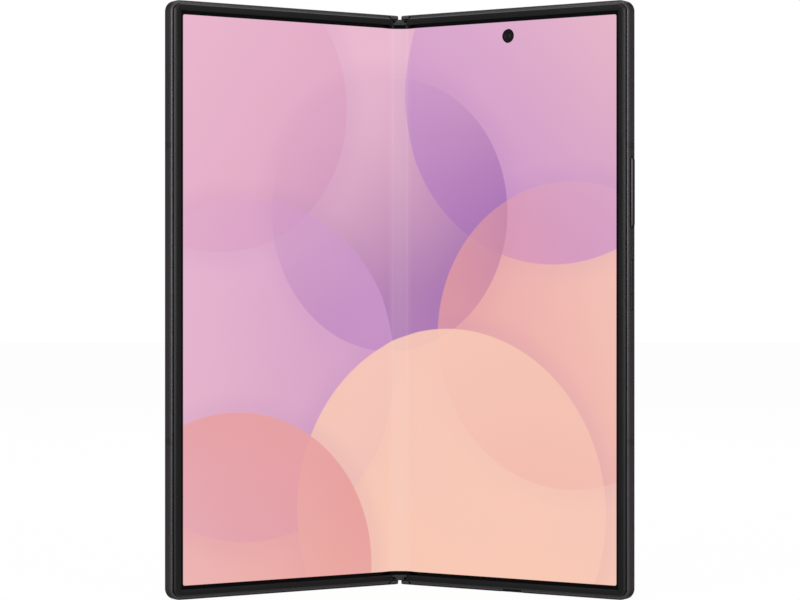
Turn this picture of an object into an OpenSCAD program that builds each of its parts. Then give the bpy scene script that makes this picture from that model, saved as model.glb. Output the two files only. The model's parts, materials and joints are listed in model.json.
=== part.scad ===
// Book-style folding phone, standing half open on its lower edge.
// Millimetres, +Z up, +Y away from the viewer, origin at the centre of the footprint.
// Each half is drawn flat: X is the distance from the centre plane, Y the depth from the rim.

/* [Pose] */
// How far each half is turned out of the flat position, in degrees
fold = 32.6; // [0:0.1:60]

/* [Overall size] */
// Width of the open phone
open_w = 143.2; // [136:0.2:150]
// Height of the phone
body_h = 158.4; // [156:0.2:162]

/* [Rim] */
// Width of the raised rim around the inner display, from the outer face
bezel_in = 2.85; // [2.6:0.05:3.2]
// Outer corner radius of the body
corner_r = 3; // [2.95:0.05:4]

/* [Details] */
// Diameter of the hole in the display for the inner camera
punch_d = 3.85; // [2.5:0.05:5]
// Number of friction washers on each synchroniser shaft
washer_count = 6; // [2:1:8]

/* [Hidden] */
$fn = 48;
half_w = open_w / 2;
body_t = 4.2;             // thickness of one half
ax = 1.25;                // fold axis of a half, from the centre plane
ay = 1;                   // fold axis depth from the rim
wall_end = 0.46;          // inner end of the frame's top and bottom walls
lip_t = 0.35;             // thickness of the frame's edge beside the rim
groove = 0.46;            // gap between frame and rim
front_round = 1.3;        // rounding of the frame's front edge
back_round = 0.5;         // and of its back edge
wall_t = 1.3;             // side wall thickness
rim_front = -0.1;         // front face of the rim
rim_soft = 0.45;          // rounding of its outer edge
disp_y0 = 0.3;            // display surface depth
disp_y1 = 0.8;            // display underside depth
bed_y0 = 0.85;            // bed under the display
bed_y1 = 1.25;
glass_y0 = 3.6;           // inner side of the rear glass
screen_edge = 2;          // display edge under the rim, from the outer face
fold_reach = 6;           // half width of the bending strip
notch_x = 9;              // display is cut back to here beside the hinge ends
notch_z = 2.8;
spine_z0 = 1.15;          // spine cover end
spine_r = 2.65;
spine_in = 2.4;
spine_edge = 1.52;        // depth of the spine cover's long edges
rail_z0 = 1.96;           // hinge arm layer, measured from the lower edge
rail_z1 = 2.66;
arm_z0 = 2.04;
arm_z1 = 2.66;
lever_z0 = 1.46;          // synchroniser lever layer
lever_z1 = 1.94;
rail_r0 = 1.82;
rail_r1 = 2.34;
shaft_x = 2.27;           // synchroniser shaft
shaft_y = 2.02;
gear_r = shaft_x / 3;     // pitch radius of the four gears in a row
gear_z0 = 5;
gear_z1 = 8;
gear_teeth = 9;
link_r = norm([shaft_x - ax, shaft_y - ay]);
pin_x = 7.2;              // lever pin in the bracket's curved slot
pin_y = 1.45;
wing_x = 9.4;             // pivot of the wing plate
wing_y = 1.25;
wing_ratio = 0.15;        // wing tilt per degree of fold
base_len = 24;            // length of each hinge base
bracket_z1 = 15;          // how far the bracket flange reaches from the end
floor_y0 = 3.3;
battery_wall = 10;        // inner wall between hinge bay and battery bay
cell_z0 = 27;
cell_z1 = 104;
vol_z = 107.6;            // volume key
vol_len = 18.8;
side_z = 83.2;            // power key with fingerprint reader
side_len = 13.2;
key_y0 = 1.7;
key_y1 = 2.9;
key_gap = 0.12;
flange_y0 = 1.27;         // keys' inner parts stay behind the bed
switch_step = 6;          // volume switches, from the rocker's middle
strap_z = [41.9, 120];      // antenna breaks
strap_len = 1.6;
punch_x = 34.94;
punch_z = 150.77;
island_x = 52.5;          // rear camera block
island_z = 138.5;
island_s = 29;
island_r = 8;
lens_pos = [[-6.6, 6.6], [6.6, 6.6], [-6.6, -6.6]];
usb_x = 36;
usb_y = 2.2;
tray_x0 = 30;
tray_x1 = 46;
glass_edge = 0.6;
hinge_glass = 4.55;       // rear glass starts here, from the centre plane

// shift that puts the footprint's centre on the origin
front_x = half_w - lip_t - groove - rim_soft * (1 - sin(fold));
front_depth = rim_front + rim_soft * (1 - cos(fold));
front_y = ay - (front_x - ax) * sin(fold) + (front_depth - ay) * cos(fold);
back_y = ay - (wall_end - ax) * sin(fold) + (body_t - ay) * cos(fold);
shift_y = -(front_y + back_y) / 2;

// ---------- placing ----------

module right_side() {
  translate([0, shift_y, 0])
    translate([ax, ay, 0])
      rotate([0, 0, -fold])
        translate([-ax, -ay, 0])
          children();
}

module left_side() {
  mirror([1, 0, 0])
    right_side()
      children();
}

module in_spine() {
  translate([0, shift_y, 0])
    children();
}

// repeats for the lower and the upper end
module both_ends() {
  children();
  translate([0, 0, body_h])
    mirror([0, 0, 1])
      children();
}

// extrudes an X-Z outline from depth y0 to y1
module slab(y0, y1) {
  translate([0, y1, 0])
    rotate([90, 0, 0])
      linear_extrude(y1 - y0)
        children();
}

module box(x0, x1, y0, y1, z0, z1) {
  translate([x0, y0, z0])
    cube([x1 - x0, y1 - y0, z1 - z0]);
}

module bar(x0, x1, y0, y1) {
  translate([x0, y0])
    square([x1 - x0, y1 - y0]);
}

// short cylinder along the depth
module drum(x, z, r, y0, y1) {
  translate([x, y1, z])
    rotate([90, 0, 0])
      cylinder(r = r, h = y1 - y0);
}

module round_rect(x0, x1, z0, z1, r) {
  bar(x0 + r, x1 - r, z0, z1);
  bar(x0, x1, z0 + r, z1 - r);
  for (x = [x0 + r, x1 - r])
    for (z = [z0 + r, z1 - r])
      translate([x, z])
        circle(r);
}

// outline of a half with rounded outer corners, set in by e
module half_outline(x0, e) {
  r = corner_r - e;
  bar(x0, half_w - e - r, e, body_h - e);
  bar(x0, half_w - e, e + r, body_h - e - r);
  for (z = [e + r, body_h - e - r])
    translate([half_w - e - r, z])
      circle(r);
}

// ring sector around the fold axis, angles counted from +X towards the back
module sector(r0, r1, a0, a1) {
  reach = r1 * 1.5;
  translate([ax, ay])
    difference() {
      circle(r1);
      circle(r0);
      if (a1 - a0 < 180)
        rotate(a0)
          translate([-2 * reach, -2 * reach])
            square([4 * reach, 2 * reach]);
      if (a1 - a0 < 180)
        rotate(a1)
          translate([-2 * reach, 0])
            square([4 * reach, 2 * reach]);
    }
}

// ---------- frame of a half ----------

// what the wall's roundings take away, front and back
module wall_roundings() {
  difference() {
    bar(-1, front_round, -1, front_round);
    translate([front_round, front_round])
      circle(front_round);
  }
  difference() {
    bar(-1, back_round, body_t - back_round, body_t + 1);
    translate([back_round, body_t - back_round])
      circle(back_round);
  }
}

// wall section: first number is the distance in from the outer face, second the depth
module wall_section() {
  difference() {
    union() {
      bar(0, lip_t, 0, disp_y1 + 0.1);
      bar(0, glass_edge - 0.05, disp_y1, body_t);
      bar(0, wall_t, disp_y1, glass_y0);
    }
    wall_roundings();
  }
}

// carries a section around a half: along both ends from x0, both corners and the outer side
module around(x0) {
  both_ends() {
    translate([half_w - corner_r, 0, 0])
      rotate([0, -90, 0])
        linear_extrude(half_w - corner_r - x0)
          children();
    translate([half_w - corner_r, 0, corner_r])
      rotate([-90, 0, 0])
        rotate_extrude(angle = 90)
          translate([corner_r, 0])
            mirror([1, 0])
              children();
  }
  translate([half_w, 0, corner_r])
    mirror([1, 0, 0])
      linear_extrude(body_h - 2 * corner_r)
        children();
}

// solid end of the frame beside the hinge, rounded at the front about the fold axis
module wall_tip() {
  tip_r = 1;
  tip_x1 = 3.2;
  tip_t = 1.1;
  chamfer = 0.45;
  difference() {
    linear_extrude(tip_t)
      difference() {
        bar(wall_end, tip_x1, 0, body_t);
        difference() {
          bar(wall_end - 1, wall_end + tip_r, -1, tip_r);
          translate([wall_end + tip_r, tip_r])
            circle(tip_r);
        }
      }
    translate([tip_x1 + 1, 0, 0])
      rotate([0, -90, 0])
        linear_extrude(tip_x1 + 2)
          wall_roundings();
    translate([wall_end, 0, 0])
      rotate([0, 45, 0])
        translate([-chamfer, -1, -chamfer])
          cube([chamfer * 1.7, body_t + 2, chamfer * 1.7]);
  }
}

// back edge beside the spine
module hinge_lip() {
  lip_y0 = 2.9;
  box(wall_end, hinge_glass, lip_y0, body_t, spine_z0 - 0.05, body_h - spine_z0 + 0.05);
}

// room in which the spine turns, about the fold axis
module spine_room() {
  translate([ax, ay, spine_z0 - 0.05])
    cylinder(r = spine_r + 0.15, h = body_h - 2 * spine_z0 + 0.1);
}

// common to both halves
module half_frame() {
  difference() {
    union() {
      around(3.1)
        wall_section();
      both_ends()
        wall_tip();
      hinge_lip();
      // bed under the display
      box(battery_wall - 0.2, half_w - 1, bed_y0, bed_y1, 1, body_h - 1);
      // wall and floor of the hinge bay
      box(battery_wall, battery_wall + 0.6, bed_y0, glass_y0, 1, body_h - 1);
      box(hinge_glass - 0.1, battery_wall + 0.3, floor_y0, glass_y0, 1, body_h - 1);
    }
    spine_room();
    bracket_screw_places(0.45, floor_y0 - 1, glass_y0 + 1);
    for (z = strap_z)
      box(half_w - wall_t - 0.5, half_w + 1, -1, body_t + 1, z - strap_len / 2, z + strap_len / 2);
  }
}

module half_straps() {
  for (z = strap_z)
    translate([half_w, 0, z - strap_len / 2])
      mirror([1, 0, 0])
        linear_extrude(strap_len)
          wall_section();
}

module rim_section() {
  u0 = lip_t + groove;
  foot = 1.9;
  difference() {
    union() {
      bar(u0, foot, rim_front, disp_y1 - 0.03);
      bar(u0, bezel_in, rim_front, disp_y0 - 0.05);
    }
    difference() {
      bar(u0 - 1, u0 + rim_soft, rim_front - 1, rim_front + rim_soft);
      translate([u0 + rim_soft, rim_front + rim_soft])
        circle(rim_soft);
    }
  }
}

module half_rim() {
  rim_x0 = 3.3;
  around(rim_x0)
    rim_section();
}

module display_panel() {
  difference() {
    slab(disp_y0, disp_y1)
      difference() {
        half_outline(fold_reach, screen_edge);
        bar(0, notch_x, 0, notch_z);
        bar(0, notch_x, body_h - notch_z, body_h);
      }
    children();
  }
}

// ---------- hinge ----------

module bracket_screw_places(r, y0, y1) {
  both_ends()
    for (p = [[7.6, 5], [6.4, 12.5]])
      drum(p[0], p[1], r, y0, y1);
}

module slot_path(r) {
  // the lever pin sweeps this arc while the half turns by a quarter turn
  cx = pin_x - (shaft_x - ax);
  cy = pin_y - (shaft_y - ay);
  difference() {
    translate([cx, cy])
      difference() {
        circle(link_r + r);
        circle(link_r - r);
      }
    translate([cx, cy])
      rotate(45)
        bar(-9, 9, -9, 0);
    translate([cx, cy])
      rotate(135)
        bar(-9, 9, 0, 9);
  }
  for (a = [45, 135])
    translate([cx + link_r * cos(a), cy + link_r * sin(a)])
      circle(r);
}

// curved rail arm, its link over the spine's edge and the bracket screwed into the half
module hinge_bracket(tail_z0, tail_z1) {
  link_x1 = 4.7;
  link_y1 = 1.42;
  body_x0 = 4.6;
  body_x1 = 9.75;
  ear_r = 0.38;
  difference() {
    union() {
      translate([0, 0, arm_z0])
        linear_extrude(arm_z1 - arm_z0) {
          sector(rail_r0, rail_r1, -2, 114);
          bar(ax + rail_r0, link_x1, ay, link_y1);
          bar(body_x0, body_x1, 1, floor_y0);
          translate([wing_x, wing_y])
            circle(ear_r);
        }
      translate([0, 0, tail_z0])
        linear_extrude(tail_z1 - tail_z0)
          sector(rail_r0, rail_r1, 100, 148);
      box(4.9, body_x1, 2.75, floor_y0, arm_z0, bracket_z1);
    }
    translate([0, 0, arm_z0 - 1])
      linear_extrude(arm_z1 - arm_z0 + 2) {
        slot_path(0.28);
        translate([wing_x, wing_y])
          circle(0.2);
      }
    bracket_screw_places(0.45, 1, 5);
  }
}

module gear(phase) {
  tip = gear_r + 0.1;
  root = gear_r - 0.16;
  half_root = 0.125;
  half_tip = 0.04;
  linear_extrude(gear_z1 - gear_z0)
    union() {
      circle(root);
      for (i = [0:gear_teeth - 1])
        rotate(180 + phase + i * 360 / gear_teeth)
          polygon([[root - 0.1, -half_root], [root, -half_root], [tip, -half_tip],
            [tip, half_tip], [root, half_root], [root - 0.1, half_root]]);
    }
}

// lever, shaft and gear of the synchroniser, drawn for the flat phone
module sync_lever(phase) {
  hub_r = 0.5;
  shaft_r = 0.3;
  translate([0, 0, lever_z0])
    linear_extrude(lever_z1 - lever_z0)
      union() {
        translate([shaft_x, shaft_y])
          circle(hub_r);
        polygon([[1.98, 1.7], [2.6, 1], [7.1, 1], [7.5, 1.25], [7.5, 1.65],
          [7.1, 1.75], [4.3, 1.38], [3.3, 1.38], [2.75, 2]]);
      }
  translate([pin_x, pin_y, lever_z0])
    cylinder(r = 0.24, h = arm_z1 - lever_z0 - 0.02);
  translate([shaft_x, shaft_y, lever_z0])
    cylinder(r = shaft_r, h = base_len - lever_z0 - 2);
  translate([shaft_x, shaft_y, gear_z0])
    gear(phase);
}

module idler_gear(phase) {
  shaft_r = 0.3;
  translate([gear_r, shaft_y, gear_z0])
    gear(phase);
  translate([gear_r, shaft_y, gear_z0 - 1.5])
    cylinder(r = shaft_r, h = gear_z1 - gear_z0 + 3);
}

module turned_about(x, y, angle) {
  translate([x, y, 0])
    rotate([0, 0, angle])
      translate([-x, -y, 0])
        children();
}

module sync_pair(phase) {
  in_spine()
    both_ends()
      turned_about(shaft_x, shaft_y, -fold)
        sync_lever(phase);
}

module idler_pair(phase) {
  in_spine()
    both_ends()
      turned_about(gear_r, shaft_y, fold)
        idler_gear(phase);
}

// spine section: two arcs about the fold axes joined by a flat back
module spine_shape(r) {
  for (x = [-ax, ax])
    translate([x, ay])
      circle(r);
  bar(-ax, ax, ay - r, ay + r);
}

module spine_inside(r, y_top) {
  difference() {
    spine_shape(r);
    bar(-9, 9, -9, y_top);
  }
}

module spine_cover() {
  plate = 0.25;
  color("dimgray")
    in_spine() {
      translate([0, 0, spine_z0])
        linear_extrude(body_h - 2 * spine_z0)
          difference() {
            spine_inside(spine_r, spine_edge);
            spine_shape(spine_in);
          }
      both_ends()
        translate([0, 0, spine_z0])
          linear_extrude(plate)
            spine_inside(spine_in, spine_edge);
    }
}

module hinge_base() {
  base_y = 1.3;
  fit = 0.02;
  bore = 0.33;
  boss = 1;
  washer_bay = 0.8;
  difference() {
    union() {
      translate([0, 0, rail_z0])
        linear_extrude(base_len - rail_z0)
          spine_inside(spine_in - fit, base_y);
      box(-boss, boss, 0.95, base_y + 0.1, rail_z0, notch_z + 0.6);
    }
    // curved grooves for the rail arms
    for (m = [0, 1])
      mirror([m, 0, 0])
        translate([0, 0, rail_z0 - 1])
          linear_extrude(rail_z1 + 0.06 - rail_z0 + 1)
            sector(rail_r0 - 0.04, spine_in + 1, -10, 153);
    for (m = [0, 1])
      mirror([m, 0, 0]) {
        translate([shaft_x, shaft_y, 0])
          cylinder(r = bore, h = base_len - 1.7);
        translate([gear_r, shaft_y, gear_z0 - 1.6])
          cylinder(r = bore, h = gear_z1 - gear_z0 + 3.2);
        // bay for the friction washers
        translate([shaft_x, shaft_y, 11])
          cylinder(r = washer_bay, h = base_len - 14);
      }
    // gear chamber, open towards the display
    box(-5, 5, ay, 3, gear_z0 - 0.1, gear_z1 + 0.1);
  }
}

module hinge_base_bottom() {
  color("gray")
    in_spine()
      hinge_base();
}

module hinge_base_top() {
  color("gray")
    in_spine()
      translate([0, 0, body_h])
        mirror([0, 0, 1])
          hinge_base();
}

module hinge_base_middle() {
  half_len = 9;
  color("gray")
    in_spine()
      difference() {
        translate([0, 0, body_h / 2 - half_len])
          linear_extrude(2 * half_len)
            spine_inside(spine_in - 0.02, 1.3);
        for (z = [-6, 0, 6])
          translate([-5, 1, body_h / 2 + z - 1.6])
            cube([10, 1, 3.2]);
      }
}

// T-shaped cap that closes the gap between the halves at each end
module end_cap() {
  wide = 2.1;
  narrow = 1.15;
  cap_y0 = 0.35;
  cap_y1 = 0.95;
  slab(cap_y0, cap_y1) {
    round_rect(-wide, wide, 2, 2.76, 0.2);
    bar(-narrow, narrow, spine_z0 + 0.05, 2.4);
  }
  slab(cap_y0 - 0.12, cap_y0 + 0.1)
    round_rect(-0.75, 0.75, 1.5, 2.4, 0.3);
}

module hinge_end_cap_bottom() {
  color("dimgray")
    in_spine()
      end_cap();
}

module hinge_end_cap_top() {
  color("dimgray")
    in_spine()
      translate([0, 0, body_h])
        mirror([0, 0, 1])
          end_cap();
}

module centre_support_plate() {
  half = 1.8;
  color("silver")
    in_spine()
      difference() {
        box(-half, half, 0.88, 1.3, notch_z + 0.7, body_h - notch_z - 0.7);
        both_ends()
          box(-half - 1, half + 1, 1.02, 2, gear_z0 - 0.1, gear_z1 + 0.1);
      }
}

module friction_washers() {
  pitch = 1.2;
  thick = 0.7;
  color("goldenrod")
    in_spine()
      both_ends()
        for (m = [0, 1])
          mirror([m, 0, 0])
            for (i = [0:washer_count - 1])
              translate([shaft_x, shaft_y, 12 + i * pitch])
                difference() {
                  cylinder(r = 0.68, h = thick);
                  translate([0, 0, -1])
                    cylinder(r = 0.33, h = thick + 2);
                }
}

module spine_flex_cables() {
  reach = 2.9;
  wide = 7;
  color("chocolate")
    in_spine()
      for (z = [48, 104])
        box(-reach, reach, 2.6, 2.75, z - wide / 2, z + wide / 2);
}

// ---------- bending strip of the display ----------

function ease(t) = t <= 0 ? 0 : t >= 1 ? 1 : t * t * (3 - 2 * t);
function bent(x, y) = let (q = fold * ease(x / fold_reach), p = x - ax, d = y - ay)
  [ax + p * cos(q) + d * sin(q), ay - p * sin(q) + d * cos(q)];
strip_n = 14;
function strip_side(y, s) = [for (i = [0:strip_n]) let (p = bent(i * fold_reach / strip_n, y))
  [s * p[0], p[1]]];
function flip(v) = [for (i = [len(v) - 1:-1:0]) v[i]];

module strip_shape() {
  end_gap = 0.02;
  difference() {
    polygon(concat(flip(strip_side(disp_y0, -1)), strip_side(disp_y0, 1),
      flip(strip_side(disp_y1, 1)), strip_side(disp_y1, -1)));
    for (m = [0, 1])
      mirror([m, 0])
        translate([ax, ay])
          rotate(-fold)
            translate([fold_reach - ax - end_gap, -5])
              square([1, 9]);
  }
}

module display_fold() {
  color("pink")
    in_spine()
      translate([0, 0, notch_z])
        linear_extrude(body_h - 2 * notch_z)
          strip_shape();
}

// ---------- wings under the display beside the fold ----------

module wing() {
  wing_z0 = 3;
  bead = 0.25;
  pin_r = 0.17;
  union() {
    box(2, wing_x, bed_y0, 1, wing_z0, body_h - wing_z0);
    translate([wing_x, wing_y, wing_z0])
      cylinder(r = bead, h = body_h - 2 * wing_z0);
    translate([wing_x, wing_y, arm_z0 + 0.1])
      cylinder(r = pin_r, h = body_h - 2 * arm_z0 - 0.2);
  }
}

module tilted_wing() {
  turned_about(wing_x, wing_y, -fold * wing_ratio)
    wing();
}

module right_wing() {
  color("lightgray")
    right_side()
      tilted_wing();
}

module left_wing() {
  color("lightgray")
    left_side()
      tilted_wing();
}

module right_sync_levers() {
  color("silver")
    sync_pair(0);
}

module left_sync_levers() {
  color("silver")
    mirror([1, 0, 0])
      sync_pair(180 / gear_teeth);
}

module right_idler_gears() {
  color("gold")
    idler_pair(0);
}

module left_idler_gears() {
  color("gold")
    mirror([1, 0, 0])
      idler_pair(180 / gear_teeth);
}

module bracket_screws() {
  head_r = 0.85;
  both_ends()
    for (p = [[7.6, 5], [6.4, 12.5]])
      difference() {
        union() {
          drum(p[0], p[1], head_r, 2.4, 2.75);
          drum(p[0], p[1], 0.42, 2.6, floor_y0 + 0.25);
        }
        drum(p[0], p[1], 0.35, 2.3, 2.55);
      }
}

module right_hinge_brackets() {
  color("silver")
    right_side()
      both_ends()
        hinge_bracket(arm_z0, arm_z0 + 0.28);
}

module left_hinge_brackets() {
  color("silver")
    left_side()
      both_ends()
        hinge_bracket(arm_z1 - 0.28, arm_z1);
}

module right_bracket_screws() {
  color("gray")
    right_side()
      bracket_screws();
}

module left_bracket_screws() {
  color("gray")
    left_side()
      bracket_screws();
}

// ---------- right half: main half with the rear cameras and keys ----------

module island_outline(e) {
  s = island_s / 2 - e;
  round_rect(island_x - s, island_x + s, island_z - s, island_z + s, island_r - e);
}

module usb_outline(w, h) {
  translate([usb_x, usb_y]) {
    square([w - h, h], center = true);
    for (s = [-1, 1])
      translate([s * (w - h) / 2, 0])
        circle(h / 2);
  }
}

speaker_x = [47.5, 50, 52.5, 55, 57.5];
plug_w = 8.34;
plug_h = 2.56;
port_wall = 0.1;
port_w = plug_w + 2 * port_wall;
port_h = plug_h + 2 * port_wall;
port_len = 7.2;

module right_frame() {
  color("dimgray")
    right_side()
      difference() {
        half_frame();
        // charging socket
        translate([0, 0, -1])
          linear_extrude(port_len + 1.4)
            usb_outline(port_w + 0.04, port_h + 0.04);
        // loudspeaker openings
        for (x = speaker_x)
          translate([x, usb_y, -1])
            cylinder(r = 0.65, h = 4);
        // microphone
        translate([25, usb_y, -1])
          cylinder(r = 0.45, h = 4);
        // key openings
        box(half_w - 2, half_w + 1, key_y0 - key_gap, key_y1 + key_gap,
          vol_z - vol_len / 2 - 0.1, vol_z + vol_len / 2 + 0.1);
        box(half_w - 2, half_w + 1, key_y0 - key_gap, key_y1 + key_gap,
          side_z - side_len / 2 - 0.1, side_z + side_len / 2 + 0.1);
        // inner camera
        drum(punch_x, punch_z, 2.3, 0, 2);
      }
}

module right_antenna_straps() {
  color("darkslategray")
    right_side()
      half_straps();
}

module left_antenna_straps() {
  color("darkslategray")
    left_side()
      half_straps();
}

module right_rim() {
  color("black")
    right_side()
      half_rim();
}

module left_rim() {
  color("black")
    left_side()
      half_rim();
}

module display_right() {
  color("pink")
    right_side()
      display_panel()
        drum(punch_x, punch_z, punch_d / 2, -1, 2);
}

module display_left() {
  color("plum")
    left_side()
      display_panel();
}

module glass_plate(e) {
  // rounded where it meets the frame
  slab(glass_y0, body_t)
    half_outline(hinge_glass, e);
}

module rear_glass() {
  color("slategray")
    right_side()
      difference() {
        glass_plate(glass_edge);
        slab(3, 5)
          island_outline(0.1);
      }
}

module cover_glass() {
  color("black")
    left_side()
      glass_plate(glass_edge);
}

module camera_island() {
  wall_y0 = 3.05;
  top_y = 5.6;
  soft = 0.5;
  color("dimgray")
    right_side()
      difference() {
        union() {
          slab(wall_y0, top_y - soft)
            island_outline(0.2);
          slab(wall_y0, top_y)
            island_outline(0.2 + soft);
        }
        slab(wall_y0 - 1, top_y - 1)
          island_outline(1.4);
        for (p = lens_pos)
          drum(island_x + p[0], island_z + p[1], 4.7, 1, 9);
        drum(island_x + 6.6, island_z - 6.6, 2, 1, 9);
      }
}

module at_lenses() {
  for (p = lens_pos)
    translate([island_x + p[0], 0, island_z + p[1]])
      children();
}

module lens_rings() {
  color("silver")
    right_side()
      at_lenses()
        difference() {
          union() {
            drum(0, 0, 5.5, 5.6, 6.1);
            drum(0, 0, 4.68, 4.7, 5.8);
          }
          drum(0, 0, 4.4, 5.3, 7);
          drum(0, 0, 4.1, 4, 7);
        }
}

module lens_windows() {
  color("black")
    right_side()
      at_lenses()
        drum(0, 0, 4.38, 5.3, 5.9);
}

module camera_modules() {
  cell = 4.2;
  color("black")
    right_side()
      at_lenses() {
        box(-cell, cell, 1.4, 4.2, -cell, cell);
        drum(0, 0, 3.6, 4.1, 5.1);
      }
}

module flash_window() {
  color("white")
    right_side()
      drum(island_x + 6.6, island_z - 6.6, 1.98, 4.6, 5.65);
}

module inner_camera() {
  color("black")
    right_side() {
      drum(punch_x, punch_z, 1.85, 0.5, 1.4);
      drum(punch_x, punch_z, 2.2, 0.9, 3.2);
    }
}

module main_board() {
  color("darkgreen")
    right_side()
      difference() {
        union() {
          box(12, 68.9, 1.4, 1.95, 108, 155);
          box(48, 68.9, 1.4, 1.95, cell_z1 + 0.5, 109);
        }
        box(island_x - 11.2, island_x + 11.2, 0, 3, island_z - 2.2, island_z + 11.2);
        box(island_x - 11.2, island_x - 2.1, 0, 3, island_z - 11.2, island_z - 2.1);
        drum(punch_x, punch_z, 2.5, 0, 4);
      }
}

module shield_cans() {
  lid_y0 = 2.9;
  lid_y1 = 3.05;
  color("silver")
    right_side()
      for (c = [[13.5, 111, 35, 133], [13.5, 135, 31, 153], [43, 110, 66, 125]])
        difference() {
          box(c[0], c[2], 1.95, lid_y1, c[1], c[3]);
          box(c[0] + 0.2, c[2] - 0.2, 1, lid_y0, c[1] + 0.2, c[3] - 0.2);
        }
}

module main_battery() {
  color("black")
    right_side()
      box(12, 65.6, 1.35, 3.25, cell_z0, cell_z1);
}

module charging_coil() {
  color("peru")
    right_side()
      difference() {
        drum(39, 66, 20, 3.33, 3.53);
        drum(39, 66, 9, 3, 4);
      }
}

module loudspeaker() {
  color("dimgray")
    right_side()
      difference() {
        box(44.5, 68, 1.35, 3.3, 2.2, 21);
        for (x = speaker_x)
          translate([x, usb_y, 1])
            cylinder(r = 0.6, h = 3);
      }
}

module charging_port_shell() {
  color("silver")
    right_side()
      translate([0, 0, 0.15])
        difference() {
          linear_extrude(port_len)
            usb_outline(port_w, port_h);
          translate([0, 0, -1])
            linear_extrude(port_len + 0.7)
              usb_outline(plug_w, plug_h);
        }
}

module charging_port_tongue() {
  color("black")
    right_side()
      box(usb_x - 3.3, usb_x + 3.3, usb_y - 0.35, usb_y + 0.35, 1.2, 7.03);
}

module key_switches() {
  strip_x = half_w - 2.3;
  color("chocolate")
    right_side() {
      box(strip_x - 0.2, strip_x, 1.4, 2.8, 72, 119);
      for (z = [vol_z - switch_step, vol_z + switch_step, side_z])
        translate([strip_x, 2.1, z])
          rotate([0, 90, 0])
            cylinder(r = 0.7, h = 0.35);
    }
}

module magnet_blocks(y1) {
  box(66.3, 68.6, 1.4, y1, 48, 60);
  box(66.3, 68.6, 1.4, y1, 62, 68);
}

module right_magnets() {
  color("gray")
    right_side()
      magnet_blocks(3.2);
}

module left_magnets() {
  color("gray")
    left_side()
      magnet_blocks(2.8);
}

// rocker of the volume key: slanted ends, a round rib to rock on and two pushers
module volume_key() {
  out = 0.6;
  slant = 0.8;
  rib_x = half_w - 1.55;
  rib_r = 0.24;
  pusher_x = half_w - 1.8;
  z0 = vol_z - vol_len / 2;
  z1 = vol_z + vol_len / 2;
  x0 = half_w - 1.45;
  color("gray")
    right_side()
      union() {
        translate([0, key_y1, 0])
          rotate([90, 0, 0])
            linear_extrude(key_y1 - key_y0)
              polygon([[x0, z0], [half_w, z0], [half_w + out, z0 + slant],
                [half_w + out, z1 - slant], [half_w, z1], [x0, z1]]);
        drum(rib_x, vol_z, rib_r, flange_y0, key_y1 + 0.3);
        for (z = [vol_z - switch_step, vol_z + switch_step])
          translate([pusher_x, (key_y0 + key_y1) / 2, z])
            rotate([0, 90, 0])
              cylinder(r = 0.4, h = x0 - pusher_x + 0.1);
      }
}

module side_key() {
  z0 = side_z - side_len / 2;
  z1 = side_z + side_len / 2;
  color("gray")
    right_side() {
      box(half_w - 1.4, half_w + 0.25, key_y0, key_y1, z0, z1);
      box(half_w - 1.7, half_w - 1.35, flange_y0, key_y1 + 0.3, z0 + 1, z1 - 1);
    }
}

// ---------- left half: carries the cover screen ----------

module left_frame() {
  color("dimgray")
    left_side()
      difference() {
        half_frame();
        // card tray opening
        box(tray_x0 - 0.1, tray_x1 + 0.1, 1.5, 3.1, -1, 3);
        // earpiece slot and microphones in the upper edge
        box(32, 42, 2, 2.8, body_h - 3, body_h + 1);
        for (x = [24, 56])
          translate([x, usb_y, body_h - 3])
            cylinder(r = 0.4, h = 4);
      }
}

module cover_display() {
  color("midnightblue")
    left_side()
      slab(2.85, 3.55)
        round_rect(11.2, 69.3, 3, 155.4, 1.5);
}

module cover_camera() {
  color("black")
    left_side()
      drum(40, 147.5, 2.2, 1.35, 2.8);
}

module second_battery() {
  color("black")
    left_side()
      box(12, 65.6, 1.35, 2.75, 28, 126);
}

module left_board() {
  color("darkgreen")
    left_side()
      difference() {
        box(12, 69.5, 1.35, 1.85, 128.5, 155);
        drum(40, 147.5, 2.6, 0, 4);
        box(31, 43, 0, 4, 151, 156);
      }
}

module earpiece() {
  color("dimgray")
    left_side()
      box(31.5, 42.5, 1.35, 2.8, 151.5, 156.9);
}

module vibration_motor() {
  color("silver")
    left_side()
      box(50, 66, 1.35, 2.8, 5, 14);
}

module card_tray() {
  lip = 1;
  color("gray")
    left_side()
      difference() {
        union() {
          box(tray_x0, tray_x1, 1.6, 3, 0.05, lip + 0.3);
          box(tray_x0 + 0.6, tray_x1 - 0.6, 1.8, 2.6, lip, 23);
        }
        box(tray_x0 + 1.5, tray_x1 - 1.5, 2.1, 4, 6, 21.5);
        // hole for the eject pin
        translate([tray_x1 - 1.6, 2.3, -1])
          cylinder(r = 0.4, h = 4);
      }
}

module card_reader() {
  color("silver")
    left_side()
      difference() {
        box(tray_x0 - 0.4, tray_x1 + 0.4, 1.4, 2.8, 3, 24.5);
        box(tray_x0 + 0.4, tray_x1 - 0.4, 1.65, 2.7, 0, 23.6);
      }
}

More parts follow.
